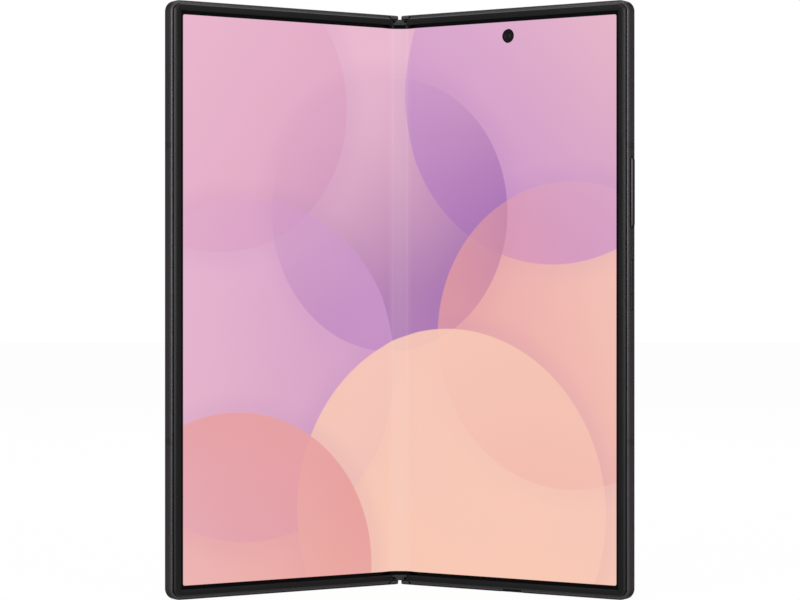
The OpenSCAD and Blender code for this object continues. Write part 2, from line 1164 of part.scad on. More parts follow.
spine_cover();
hinge_base_top();
hinge_base_bottom();
hinge_base_middle();
hinge_end_cap_top();
hinge_end_cap_bottom();
centre_support_plate();
friction_washers();
spine_flex_cables();
display_fold();
right_sync_levers();
left_sync_levers();
right_idler_gears();
left_idler_gears();
right_wing();
left_wing();
right_frame();
right_antenna_straps();
right_rim();
display_right();
right_hinge_brackets();
right_bracket_screws();
rear_glass();
camera_island();
lens_rings();
lens_windows();
camera_modules();
flash_window();
inner_camera();
main_board();
shield_cans();
main_battery();
charging_coil();
loudspeaker();
charging_port_shell();
charging_port_tongue();
key_switches();
right_magnets();
volume_key();
side_key();
left_frame();
left_antenna_straps();
left_rim();
display_left();
left_hinge_brackets();
left_bracket_screws();
cover_glass();
cover_display();
cover_camera();
second_battery();
left_board();
earpiece();
vibration_motor();
card_tray();
card_reader();
left_magnets();
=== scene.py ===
"""Folding phone, half open and standing: visible shells, screen, rims, keys, cameras and stage."""

import json
import math

import bmesh
import bpy
from bpy.props import FloatProperty, FloatVectorProperty, PointerProperty
from mathutils import Matrix, Vector


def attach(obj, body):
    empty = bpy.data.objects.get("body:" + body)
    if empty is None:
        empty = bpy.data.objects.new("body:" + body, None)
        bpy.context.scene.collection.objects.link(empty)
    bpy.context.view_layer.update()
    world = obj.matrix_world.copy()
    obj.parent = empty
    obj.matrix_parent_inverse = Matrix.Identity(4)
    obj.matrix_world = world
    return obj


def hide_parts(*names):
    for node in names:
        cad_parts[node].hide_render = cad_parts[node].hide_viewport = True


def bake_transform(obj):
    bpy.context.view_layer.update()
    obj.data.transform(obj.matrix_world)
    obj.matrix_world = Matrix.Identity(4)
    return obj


bl_info = {
    "name": "Folding phone",
    "version": (1, 0, 0),
    "blender": (4, 2, 0),
    "location": "View3D > Sidebar > Phone",
    "description": "Dresses the folding phone's parts and sets up its stage",
    "category": "Object",
}

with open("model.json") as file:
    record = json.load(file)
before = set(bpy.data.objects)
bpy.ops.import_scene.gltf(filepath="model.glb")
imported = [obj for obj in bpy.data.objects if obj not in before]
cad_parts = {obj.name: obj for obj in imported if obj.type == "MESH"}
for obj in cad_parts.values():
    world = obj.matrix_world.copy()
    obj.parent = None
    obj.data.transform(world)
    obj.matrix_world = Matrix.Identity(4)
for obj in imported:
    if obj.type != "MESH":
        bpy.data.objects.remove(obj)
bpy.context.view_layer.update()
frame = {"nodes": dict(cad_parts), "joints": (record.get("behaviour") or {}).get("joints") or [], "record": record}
NODES = frame["nodes"]

MM = 0.001
FOLD = next(j for j in frame["joints"] if j["name"] == "right_fold")
REST_ANGLE = math.radians(-FOLD["range_deg"][0])
AXIS_X, AXIS_Y = FOLD["pos_m"][0], 1 * MM
SHIFT_Y = FOLD["pos_m"][1] - AXIS_Y
HALF_W = 71.6 * MM
BODY_H = 158.4 * MM
BODY_T = 4.2 * MM
CORNER_R = 3 * MM
SCREEN_FRONT = 0.3 * MM
SCREEN_BACK = 0.8 * MM
SCREEN_EDGE = 2 * MM
FOLD_REACH = 6 * MM
NOTCH_X = 9 * MM
NOTCH_Z = 2.8 * MM
RIM_X0 = 3.3 * MM
RIM_U0 = 0.81 * MM
RIM_BEVEL = 0.45 * MM
PUNCH_X, PUNCH_Z, PUNCH_R = 34.94 * MM, 150.77 * MM, 1.925 * MM
VOLUME_Z, VOLUME_LEN = 107.6 * MM, 18.8 * MM
POWER_Z, POWER_LEN = 83.2 * MM, 13.2 * MM
KEY_Y0, KEY_Y1 = 1.7 * MM, 2.9 * MM
ISLAND_X, ISLAND_Z, ISLAND_S, ISLAND_R = 52.5 * MM, 138.5 * MM, 29 * MM, 8 * MM
LENS_STEP = 6.6 * MM
LENSES = ((-1, 1), (1, 1), (-1, -1))
FLASH = (1, -1)
SPINE_Z0 = 1.15 * MM
SWITCH_STEP = 6 * MM
SOCKET_X, EDGE_Y = 36 * MM, 2.2 * MM
SOCKET_W, SOCKET_T, SOCKET_WALL = 8.54 * MM, 2.76 * MM, 0.1 * MM
TRAY_X0, TRAY_X1 = 30 * MM, 46 * MM
TRAY_BED_Z0, TRAY_BED_Z1, TRAY_TIP_Z = 6 * MM, 21.5 * MM, 23 * MM
SPEAKER_X = (47.5, 50, 52.5, 55, 57.5)
COVER_CAMERA = (40 * MM, 147.5 * MM)
RIGHT, LEFT = 1, -1
EDGE_TINT = (0.28, 0.28, 0.28, 1)
# the first factor darkens the keys' copy of the frame metal as painted shade; the second is the straps' own darker
# tone
KEY_PAINTED_SHADE, STRAP_SHADE = 0.54, 0.84
WINDOW_R, FLASH_R, INNER_R = 4.36, 1.96, 2.2
CAMERA_X = 0.07 * MM
FLOOR_DROP = 0.02 * MM
FLOOR_SHINE = 0.97
PLAIN_LEVEL = 0.4


# ---------- placing ----------


def half_matrix(side):
    """From a half drawn flat to its place at rest; the left half is the mirror image."""
    turn = Matrix.Rotation(-REST_ANGLE, 4, "Z")
    there = Matrix.Translation((AXIS_X, AXIS_Y + SHIFT_Y, 0))
    back = Matrix.Translation((-AXIS_X, -AXIS_Y, 0))
    mirror = Matrix.Scale(side, 4, (1, 0, 0))
    return mirror @ there @ turn @ back


def clear_selection():
    if bpy.context.mode != "OBJECT":
        bpy.ops.object.mode_set(mode="OBJECT")
    bpy.ops.object.select_all(action="DESELECT")


def start_piece(name):
    """The active object, just added, gets its name and a clean start."""
    piece = bpy.context.active_object
    piece.name = name
    piece.data.name = name
    return piece


def settle(piece, matrix=None):
    """Writes the piece's place into its mesh and turns its faces outwards."""
    clear_selection()
    bpy.context.view_layer.objects.active = piece
    piece.select_set(True)
    if matrix is not None:
        piece.matrix_world = matrix @ piece.matrix_world
    bpy.ops.object.transform_apply(location=True, rotation=True, scale=True)
    bpy.ops.object.mode_set(mode="EDIT")
    bpy.ops.mesh.select_all(action="SELECT")
    bpy.ops.mesh.remove_doubles(threshold=1e-7)
    bpy.ops.mesh.delete_loose(use_verts=True, use_edges=True, use_faces=False)
    bpy.ops.mesh.select_all(action="SELECT")
    bpy.ops.mesh.normals_make_consistent(inside=False)
    bpy.ops.object.mode_set(mode="OBJECT")
    bpy.ops.object.shade_smooth_by_angle(angle=math.radians(32))
    return piece


def dress(piece, body, slot, *materials, replaces=()):
    kept = [polygon.material_index for polygon in piece.data.polygons]
    piece.data.materials.clear()
    for m in materials:
        piece.data.materials.append(m)
    for polygon, index in zip(piece.data.polygons, kept):
        polygon.material_index = min(index, len(materials) - 1)
    if replaces:
        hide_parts(*replaces)
    if body:
        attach(piece, body)
    return piece


def pick(test, kind="FACE"):
    """Selects faces, edges or vertices of the mesh in edit mode by their place."""
    mesh = bmesh.from_edit_mesh(bpy.context.active_object.data)
    bpy.ops.mesh.select_mode(type=kind)
    items = {"FACE": mesh.faces, "EDGE": mesh.edges, "VERT": mesh.verts}[kind]
    for f in mesh.faces:
        f.select_set(False)
    for e in mesh.edges:
        e.select_set(False)
    for v in mesh.verts:
        v.select_set(False)
    for item in items:
        if test(item):
            item.select_set(True)
    mesh.select_flush_mode()
    bmesh.update_edit_mesh(bpy.context.active_object.data)


def edge_mid(edge):
    return (edge.verts[0].co + edge.verts[1].co) / 2


def outline_plate(name, x0, x1, z0, z1, y0, y1, radii, soft, soft_steps=3, arc_steps=8):
    """A plate drawn as a plane, its corners rounded, thickened, and its back edge softened.

    radii holds the corner radii at (x0, z0), (x1, z0), (x1, z1) and (x0, z1).
    """
    clear_selection()
    bpy.ops.mesh.primitive_plane_add(size=1)
    piece = start_piece(name)
    corners = [(x0, z0), (x1, z0), (x1, z1), (x0, z1)]
    for v in piece.data.vertices:
        x, z = corners[(0 if v.co.x < 0 else 1) if v.co.y < 0 else (3 if v.co.x < 0 else 2)]
        v.co = (x, y0, z)
    bpy.ops.object.mode_set(mode="EDIT")
    for (cx, cz), r in zip(corners, radii):
        if r <= 0:
            continue
        pick(lambda v: abs(v.co.x - cx) < 1e-6 and abs(v.co.z - cz) < 1e-6, "VERT")
        bpy.ops.mesh.bevel(offset=r, segments=arc_steps, affect="VERTICES")
    bpy.ops.mesh.select_mode(type="FACE")
    bpy.ops.mesh.select_all(action="SELECT")
    bpy.ops.mesh.extrude_region_move(TRANSFORM_OT_translate={"value": (0, y1 - y0, 0)})
    if soft > 0:
        far = max(y0, y1) if y1 > y0 else min(y0, y1)
        pick(
            lambda e: abs(e.verts[0].co.y - far) < 1e-7
            and abs(e.verts[1].co.y - far) < 1e-7
            and len(e.link_faces) == 2
            and abs(e.link_faces[0].normal.dot(e.link_faces[1].normal)) < 0.9,
            "EDGE",
        )
        bpy.ops.mesh.bevel(offset=soft, segments=soft_steps, affect="EDGES")
    bpy.ops.object.mode_set(mode="OBJECT")
    return piece


def drawn(name, points, push=None):
    """A face through the given points, pushed out into a solid along push."""
    clear_selection()
    bpy.ops.mesh.primitive_circle_add(vertices=len(points), radius=1, fill_type="NGON")
    piece = start_piece(name)
    for v, p in zip(piece.data.vertices, points):
        v.co = p
    if push:
        bpy.ops.object.mode_set(mode="EDIT")
        bpy.ops.mesh.select_all(action="SELECT")
        bpy.ops.mesh.extrude_region_move(TRANSFORM_OT_translate={"value": push})
        bpy.ops.object.mode_set(mode="OBJECT")
    return piece


def soften(piece, width, segments=3, test=None, sharp=40):
    """Rounds the piece's sharp edges that pass the test."""
    clear_selection()
    bpy.context.view_layer.objects.active = piece
    piece.select_set(True)
    bpy.ops.object.mode_set(mode="EDIT")
    bpy.ops.mesh.select_all(action="SELECT")
    bpy.ops.mesh.remove_doubles(threshold=1e-7)
    bpy.ops.mesh.normals_make_consistent(inside=False)
    limit = math.cos(math.radians(sharp))
    pick(
        lambda e: len(e.link_faces) == 2
        and e.link_faces[0].normal.dot(e.link_faces[1].normal) < limit
        and (test is None or test(edge_mid(e))),
        "EDGE",
    )
    bpy.ops.mesh.bevel(offset=width, segments=segments, affect="EDGES", clamp_overlap=True)
    bpy.ops.object.mode_set(mode="OBJECT")
    return piece


def arc(cx, cy, r, a0, a1, steps):
    """Points of a circle's arc, angles in degrees."""
    return [(cx + r * math.cos(math.radians(a0 + (a1 - a0) * i / steps)),
             cy + r * math.sin(math.radians(a0 + (a1 - a0) * i / steps)))
            for i in range(steps + 1)]


def rounded(x0, x1, z0, z1, r, steps=8):
    """Points of a rounded rectangle in X and Z."""
    return (arc(x1 - r, z0 + r, r, -90, 0, steps) + arc(x1 - r, z1 - r, r, 0, 90, steps)
            + arc(x0 + r, z1 - r, r, 90, 180, steps) + arc(x0 + r, z0 + r, r, 180, 270, steps))


def turned(name, profile, steps=48, place=(0, 0, 0), axis="Y"):
    """A lathe piece: profile is a closed line of (radius, height) in millimetres."""
    clear_selection()
    bpy.ops.mesh.primitive_circle_add(vertices=len(profile), radius=1, fill_type="NOTHING")
    piece = start_piece(name)
    for v, (r, h) in zip(piece.data.vertices, profile):
        v.co = (r * MM, 0, h * MM)
    bpy.ops.object.mode_set(mode="EDIT")
    bpy.ops.mesh.select_all(action="SELECT")
    bpy.ops.mesh.spin(
        steps=steps, angle=2 * math.pi, center=(0, 0, 0), axis=(0, 0, 1), use_auto_merge=True
    )
    bpy.ops.mesh.select_all(action="SELECT")
    bpy.ops.mesh.remove_doubles(threshold=1e-7)
    bpy.ops.object.mode_set(mode="OBJECT")
    if axis == "Y":
        piece.data.transform(Matrix.Rotation(-math.pi / 2, 4, "X"))
    if axis == "X":
        piece.data.transform(Matrix.Rotation(math.pi / 2, 4, "Y"))
    piece.data.transform(Matrix.Translation(place))
    return piece


def join(pieces, name):
    clear_selection()
    for p in pieces:
        p.select_set(True)
    bpy.context.view_layer.objects.active = pieces[0]
    if len(pieces) > 1:
        bpy.ops.object.join()
    pieces[0].name = name
    return pieces[0]


def copy_piece(piece, name, offset):
    """A copy with its own mesh, moved by the offset."""
    twin = piece.copy()
    twin.data = piece.data.copy()
    twin.name = twin.data.name = name
    twin.data.transform(Matrix.Translation(offset))
    bpy.context.scene.collection.objects.link(twin)
    return twin


def map_plane(piece, name, place):
    """A UV map from a plain function of each corner's place."""
    layer = piece.data.uv_layers.get(name) or piece.data.uv_layers.new(name=name)
    for loop in piece.data.loops:
        layer.data[loop.index].uv = place(piece.data.vertices[loop.vertex_index].co)
    layer.active = True


def cut_with(piece, cutter):
    """Takes the cutter's shape out of the piece."""
    clear_selection()
    bpy.context.view_layer.objects.active = piece
    piece.select_set(True)
    modifier = piece.modifiers.new("cut", "BOOLEAN")
    modifier.operation = "DIFFERENCE"
    modifier.object = cutter
    modifier.solver = "EXACT"
    bpy.ops.object.modifier_apply(modifier=modifier.name)
    bpy.data.objects.remove(cutter)
    return piece


# ---------- materials ----------


def srgb(r, g, b):
    """A colour written as on a screen, 0 to 255, as linear light."""

    def one(v):
        v = v / 255
        return v / 12.92 if v <= 0.04045 else ((v + 0.055) / 1.055) ** 2.4

    return (one(r), one(g), one(b), 1.0)


class Graph:
    """A material's node graph with short calls for what the finishes share."""

    def __init__(self, name, roughness=0.5, metallic=0.0, specular=0.5):
        self.material = bpy.data.materials.new(name)
        self.material.use_nodes = True
        self.tree = self.material.node_tree
        self.shader = self.tree.nodes["Principled BSDF"]
        self.shader.inputs["Roughness"].default_value = roughness
        self.shader.inputs["Metallic"].default_value = metallic
        self.shader.inputs["Specular IOR Level"].default_value = specular
        if metallic > 0:
            self.shader.inputs["Specular Tint"].default_value = EDGE_TINT
        self.coords = self.node("ShaderNodeTexCoord")

    def node(self, kind, **values):
        n = self.tree.nodes.new(kind)
        for key, value in values.items():
            setattr(n, key, value)
        return n

    def link(self, a, b):
        self.tree.links.new(a, b)
        return b

    def plug(self, socket, value):
        if isinstance(value, bpy.types.NodeSocket):
            self.link(value, socket)
        else:
            socket.default_value = value

    def math(self, operation, a, b=0.0, c=0.0, clamp=False):
        n = self.node("ShaderNodeMath", operation=operation, use_clamp=clamp)
        for socket, value in zip(n.inputs, (a, b, c)):
            self.plug(socket, value)
        return n.outputs[0]

    def vector(self, operation, a, b=None):
        n = self.node("ShaderNodeVectorMath", operation=operation)
        self.plug(n.inputs[0], a)
        if b is not None:
            self.plug(n.inputs[1], b)
        return n.outputs["Value" if operation in ("LENGTH", "DOT_PRODUCT", "DISTANCE") else 0]

    def mix(self, share, a, b):
        n = self.node("ShaderNodeMix", data_type="RGBA")
        self.plug(n.inputs[0], share)
        self.plug(n.inputs[6], a)
        self.plug(n.inputs[7], b)
        return n.outputs[2]

    def between(self, value, low, high, out_low=0.0, out_high=1.0, smooth=True):
        n = self.node("ShaderNodeMapRange")
        n.interpolation_type = "SMOOTHSTEP" if smooth else "LINEAR"
        for socket, v in zip(n.inputs, (value, low, high, out_low, out_high)):
            self.plug(socket, v)
        return n.outputs[0]

    def noise(self, scale, detail=3.0, rough=0.5, stretch=None, source=None):
        n = self.node("ShaderNodeTexNoise")
        n.inputs["Scale"].default_value = scale
        n.inputs["Detail"].default_value = detail
        n.inputs["Roughness"].default_value = rough
        start = source or self.coords.outputs["Object"]
        if stretch:
            m = self.node("ShaderNodeMapping")
            m.inputs["Scale"].default_value = stretch
            start = self.link(start, m.inputs[0]).node.outputs[0]
        self.link(start, n.inputs["Vector"])
        return n.outputs[0]

    def colour(self, value):
        self.plug(self.shader.inputs["Base Color"], value)

    def rough(self, value):
        self.plug(self.shader.inputs["Roughness"], value)

    def bump(self, height, depth_mm, strength=1.0):
        n = self.node("ShaderNodeBump")
        n.inputs["Strength"].default_value = strength
        n.inputs["Distance"].default_value = depth_mm * MM
        self.link(height, n.inputs["Height"])
        self.link(n.outputs[0], self.shader.inputs["Normal"])


def grained(name, dark, light, rough=(0.4, 0.5), metallic=0.0, specular=0.5, scale=900,
            depth=0.004, stretch=None, broad=60):
    """A finish with a fine grain in colour, gloss and surface, over a broad slow change."""
    g = Graph(name, metallic=metallic, specular=specular)
    fine = g.noise(scale, 4, 0.6, stretch)
    slow = g.noise(broad, 2, 0.5)
    both = g.math("ADD", g.math("MULTIPLY", fine, 0.65), g.math("MULTIPLY", slow, 0.35))
    share = g.between(both, 0.32, 0.68)
    g.colour(g.mix(share, dark, light))
    g.rough(g.between(slow, 0.3, 0.7, rough[0], rough[1]))
    g.bump(fine, depth)
    return g.material


def frame_metal(name, tint):
    """Blasted, anodised metal: a fine sparkle of grain, a little smoother where hands rub it."""
    g = Graph(name, metallic=0.9, specular=0.5)
    fine = g.noise(2600, 5, 0.65)
    slow = g.noise(34, 3, 0.5)
    pits = g.noise(7200, 2, 0.5)
    deep = tuple(c * 0.86 for c in tint[:3]) + (1,)
    pale = tuple(min(1, c * 1.16) for c in tint[:3]) + (1,)
    grain = g.mix(g.between(fine, 0.3, 0.7), deep, pale)
    g.colour(g.mix(g.between(slow, 0.35, 0.7, 0, 0.3), grain, pale))
    g.rough(g.between(slow, 0.3, 0.7, 0.28, 0.35))
    height = g.math("ADD", g.math("MULTIPLY", fine, 0.7), g.math("MULTIPLY", pits, 0.3))
    g.bump(height, 0.0035)
    return g.material


def brushed_metal(name, dark, light, rough=(0.28, 0.4), stretch=(40, 40, 1600)):
    return grained(name, dark, light, rough, 1.0, 0.5, 6, 0.0015, stretch, 80)


def board_mask(name):
    """Solder mask with tracks and a scatter of pads."""
    g = Graph(name, roughness=0.38)
    cells = g.node("ShaderNodeTexVoronoi", feature="DISTANCE_TO_EDGE", distance="CHEBYCHEV")
    cells.inputs["Scale"].default_value = 420
    g.link(g.coords.outputs["Object"], cells.inputs["Vector"])
    track = g.between(cells.outputs[0], 0.03, 0.07, 1, 0)
    base = g.mix(g.noise(50), srgb(18, 66, 38), srgb(26, 84, 50))
    pads = g.between(g.noise(900, 1), 0.66, 0.7)
    g.colour(g.mix(pads, g.mix(track, base, srgb(44, 112, 70)), srgb(196, 158, 82)))
    g.bump(track, 0.01)
    return g.material


def copper_winding(name, centre):
    """Enamelled wire wound in rings about the coil's own centre, with painted shade in the grooves between turns.
    """
    g = Graph(name, roughness=0.32, metallic=1.0)
    away = g.vector("DISTANCE", g.coords.outputs["Object"], centre)
    turn = g.math("FRACT", g.math("MULTIPLY", away, 1 / (0.45 * MM)))
    groove_depth_and_shade = g.math("ABSOLUTE", g.math("SUBTRACT", turn, 0.5))
    # painted shade: the copper is darker in the grooves between the turns
    g.colour(g.mix(g.between(groove_depth_and_shade, 0.3, 0.5), srgb(196, 116, 70), srgb(96, 48, 28)))
    g.bump(groove_depth_and_shade, 0.03)
    return g.material


def flex_film(name):
    """Amber film with copper lines running along it."""
    g = Graph(name, roughness=0.36)
    split = g.node("ShaderNodeSeparateXYZ")
    g.link(g.coords.outputs["Object"], split.inputs[0])
    line = g.math("FRACT", g.math("MULTIPLY", split.outputs[2], 1 / (0.5 * MM)))
    copper = g.between(g.math("ABSOLUTE", g.math("SUBTRACT", line, 0.5)), 0.18, 0.24, 1, 0)
    film = g.mix(g.noise(300), srgb(150, 84, 26), srgb(176, 104, 38))
    g.colour(g.mix(copper, film, srgb(112, 62, 24)))
    g.bump(copper, 0.01)
    return g.material


def screen_picture(settings):
    """The lit panel: a black border, a picture of layered paper discs in soft colours, and a painted highlight
    along the crease.
    """
    g = Graph("screen_picture", roughness=0.16, specular=0.04)
    uv = g.node("ShaderNodeUVMap", uv_map="picture")
    split = g.node("ShaderNodeSeparateXYZ")
    g.link(uv.outputs[0], split.inputs[0])
    aspect = 2 * HALF_W / BODY_H
    x = g.math("MULTIPLY", g.math("SUBTRACT", split.outputs[0], 0.5), aspect)
    y = g.math("SUBTRACT", split.outputs[1], 0.5)
    join_xy = g.node("ShaderNodeCombineXYZ")
    g.link(x, join_xy.inputs[0])
    g.link(y, join_xy.inputs[1])
    place = join_xy.outputs[0]

    rose, pink, lilac, violet = (tuple(c) + (1,) for c in (
        settings.rose, settings.pink, settings.lilac, settings.violet))
    peach, salmon = tuple(settings.peach) + (1,), tuple(settings.salmon) + (1,)
    fall = g.math("ADD", g.math("MULTIPLY", x, 0.75), g.math("MULTIPLY", y, -0.85))
    ground = g.mix(g.between(fall, -0.45, 0.5), pink, peach)
    # each disc: centre, radius, colour, direction in which it fades, its weight there and opposite
    discs = (
        ((0.31, 0.36), 0.30, lilac, (0.5, 0.87), 0.15, 0.95),
        ((-0.36, 0.33), 0.25, rose, (-0.8, 0.6), 0.05, 0.60),
        ((-0.02, 0.15), 0.24, violet, (-0.55, 0.83), 0.12, 0.92),
        ((0.34, -0.06), 0.26, salmon, (0.9, 0.4), 0.05, 0.75),
        ((-0.30, -0.12), 0.29, lilac, (-0.9, 0.2), 0.10, 0.80),
        ((0.10, -0.36), 0.31, peach, (0.6, -0.8), 0.35, 0.92),
        ((-0.33, -0.46), 0.27, salmon, (-0.7, -0.7), 0.25, 0.90),
    )
    picture = ground
    for (cx, cy), radius, tone, way, near, far in discs:
        offset = g.vector("SUBTRACT", place, (cx, cy, 0))
        away = g.vector("LENGTH", offset)
        shade = g.between(away, radius, radius + 0.045, 0.10, 0.0)
        shade = g.math("MULTIPLY", shade, g.between(away, radius - 0.001, radius + 0.001))
        picture = g.mix(shade, picture, violet)
        along = g.vector("DOT_PRODUCT", offset, (way[0], way[1], 0))
        weight = g.between(along, -radius, radius, far, near)
        inside = g.between(away, radius - 0.0011, radius + 0.0011, 1, 0)
        picture = g.mix(g.math("MULTIPLY", weight, inside), picture, tone)
    haze = g.noise(3.2, 2, 0.5, source=place)
    picture = g.mix(g.between(haze, 0.3, 0.7, 0, 0.10), picture, pink)

    # painted highlight: the crease's reflections are painted into the picture as soft white upright bands, one on
    # the fold and a fainter one beside it
    fold = g.math("ABSOLUTE", x)
    reach = 3.6 * MM / BODY_H
    crease_highlight_band = g.between(fold, 0, reach, settings.crease_highlight, 0)
    edge = g.between(g.math("ABSOLUTE", g.math("SUBTRACT", fold, reach * 0.7)), 0, reach * 0.5,
                     settings.crease_highlight * 0.4, 0)
    picture = g.mix(g.math("ADD", crease_highlight_band, edge), picture, (1, 1, 1, 1))

    # black border with rounded corners
    corner = 0.5 * MM / BODY_H
    half_x = (HALF_W - settings.side_border * MM) / BODY_H
    half_y = 0.5 - settings.end_border * MM / BODY_H
    spread = g.vector("ABSOLUTE", place)
    outside = g.vector(
        "MAXIMUM", g.vector("SUBTRACT", spread, (half_x - corner, half_y - corner, 0)), (0, 0, 0)
    )
    past = g.math("SUBTRACT", g.vector("LENGTH", outside), corner)
    lit = g.between(past, -0.0003, 0.0003, 1, 0)
    g.colour(g.mix(lit, srgb(2, 2, 3), srgb(24, 20, 24)))
    g.link(g.mix(lit, (0, 0, 0, 1), picture), g.shader.inputs["Emission Color"])
    g.shader.inputs["Emission Strength"].default_value = settings.brightness
    g.rough(g.between(g.noise(40, source=place), 0.3, 0.7, 0.12, 0.2))
    return g.material


# ---------- settings ----------


class PhoneBodySettings(bpy.types.PropertyGroup):
    """Colours and sizes of the body."""

    frame_colour: FloatVectorProperty(
        name="Frame colour", description="Anodised metal of frame, spine and keys",
        subtype="COLOR", size=3, min=0, max=1, default=(0.050, 0.045, 0.049))
    rim_colour: FloatVectorProperty(
        name="Rim colour", description="Soft matt rim around the inner screen",
        subtype="COLOR", size=3, min=0, max=1, default=(0.0018, 0.0018, 0.0019))
    glass_colour: FloatVectorProperty(
        name="Rear glass colour", description="Etched glass on the back of the main half",
        subtype="COLOR", size=3, min=0, max=1, default=(0.030, 0.029, 0.031))
    rim_width: FloatProperty(
        name="Rim edge", description="Distance of the rim's inner edge from the outer face",
        unit="LENGTH", default=2.85 * MM, min=2 * MM, max=4 * MM)
    glass_soft: FloatProperty(
        name="Glass edge radius", description="Rounding of the outer glass plates",
        unit="LENGTH", default=0.42 * MM, min=0.1 * MM, max=0.55 * MM)


class PhoneScreenSettings(bpy.types.PropertyGroup):
    """Colours and borders of the lit inner screen."""

    pink: FloatVectorProperty(
        name="Pink", description="Ground of the picture, upper left",
        subtype="COLOR", size=3, min=0, max=1, default=srgb(236, 186, 208)[:3])
    rose: FloatVectorProperty(
        name="Rose", description="Disc colour", subtype="COLOR", size=3, min=0, max=1,
        default=srgb(222, 158, 190)[:3])
    lilac: FloatVectorProperty(
        name="Lilac", description="Disc colour", subtype="COLOR", size=3, min=0, max=1,
        default=srgb(203, 148, 204)[:3])
    violet: FloatVectorProperty(
        name="Violet", description="Darkest disc and shade", subtype="COLOR", size=3, min=0,
        max=1, default=srgb(160, 104, 176)[:3])
    salmon: FloatVectorProperty(
        name="Salmon", description="Disc colour", subtype="COLOR", size=3, min=0, max=1,
        default=srgb(232, 158, 156)[:3])
    peach: FloatVectorProperty(
        name="Peach", description="Ground of the picture, lower right", subtype="COLOR",
        size=3, min=0, max=1, default=srgb(250, 202, 180)[:3])
    brightness: FloatProperty(
        name="Brightness", description="Strength of the panel's light", default=0.97,
        min=0, max=3)
    # strength of the crease's painted highlight, white mixed into the picture
    crease_highlight: FloatProperty(
        name="Crease", description="How much light the fold catches", subtype="FACTOR",
        default=0.045, min=0, max=0.5)
    side_border: FloatProperty(
        name="Side border", description="Picture edge from the outer face, in millimetres",
        default=3.55, min=2.9, max=6)
    end_border: FloatProperty(
        name="End border", description="Picture edge from the ends, in millimetres",
        default=3.82, min=2.9, max=6)


class PhoneStageSettings(bpy.types.PropertyGroup):
    """Camera, lamps and floor."""

    distance: FloatProperty(
        name="Camera distance", description="From the rim plane at the fold", unit="LENGTH",
        default=693.6 * MM, min=0.2, max=3)
    lens: FloatProperty(
        name="Lens", description="Focal length", unit="CAMERA", default=112.25, min=35, max=200)
    lamp_power: FloatProperty(
        name="Lamp power", description="Power of the key lamp in watts", default=5.4,
        min=0, max=50)
    floor_size: FloatProperty(
        name="Floor size", description="Side of the floor", unit="LENGTH", default=8, min=1,
        max=20)


# ---------- inner screen ----------


def ease(t):
    t = min(max(t, 0.0), 1.0)
    return t * t * (3 - 2 * t)


REST_REACH = (AXIS_X + (FOLD_REACH - AXIS_X) * math.cos(REST_ANGLE)
              + (SCREEN_FRONT - AXIS_Y) * math.sin(REST_ANGLE))


def bend_to_rest(x, y):
    """Where a point of the flat screen lies at rest: it turns about the fold axis by its share."""
    if x >= FOLD_REACH:
        share = 1.0
    else:
        share = ease(x / FOLD_REACH)
        for _ in range(60):
            px = (AXIS_X + (x - AXIS_X) * math.cos(share * REST_ANGLE)
                  + (y - AXIS_Y) * math.sin(share * REST_ANGLE))
            share = 0.5 * share + 0.5 * ease(px / REST_REACH)
    q = share * REST_ANGLE
    px = AXIS_X + (x - AXIS_X) * math.cos(q) + (y - AXIS_Y) * math.sin(q)
    py = AXIS_Y - (x - AXIS_X) * math.sin(q) + (y - AXIS_Y) * math.cos(q)
    return px, py + SHIFT_Y


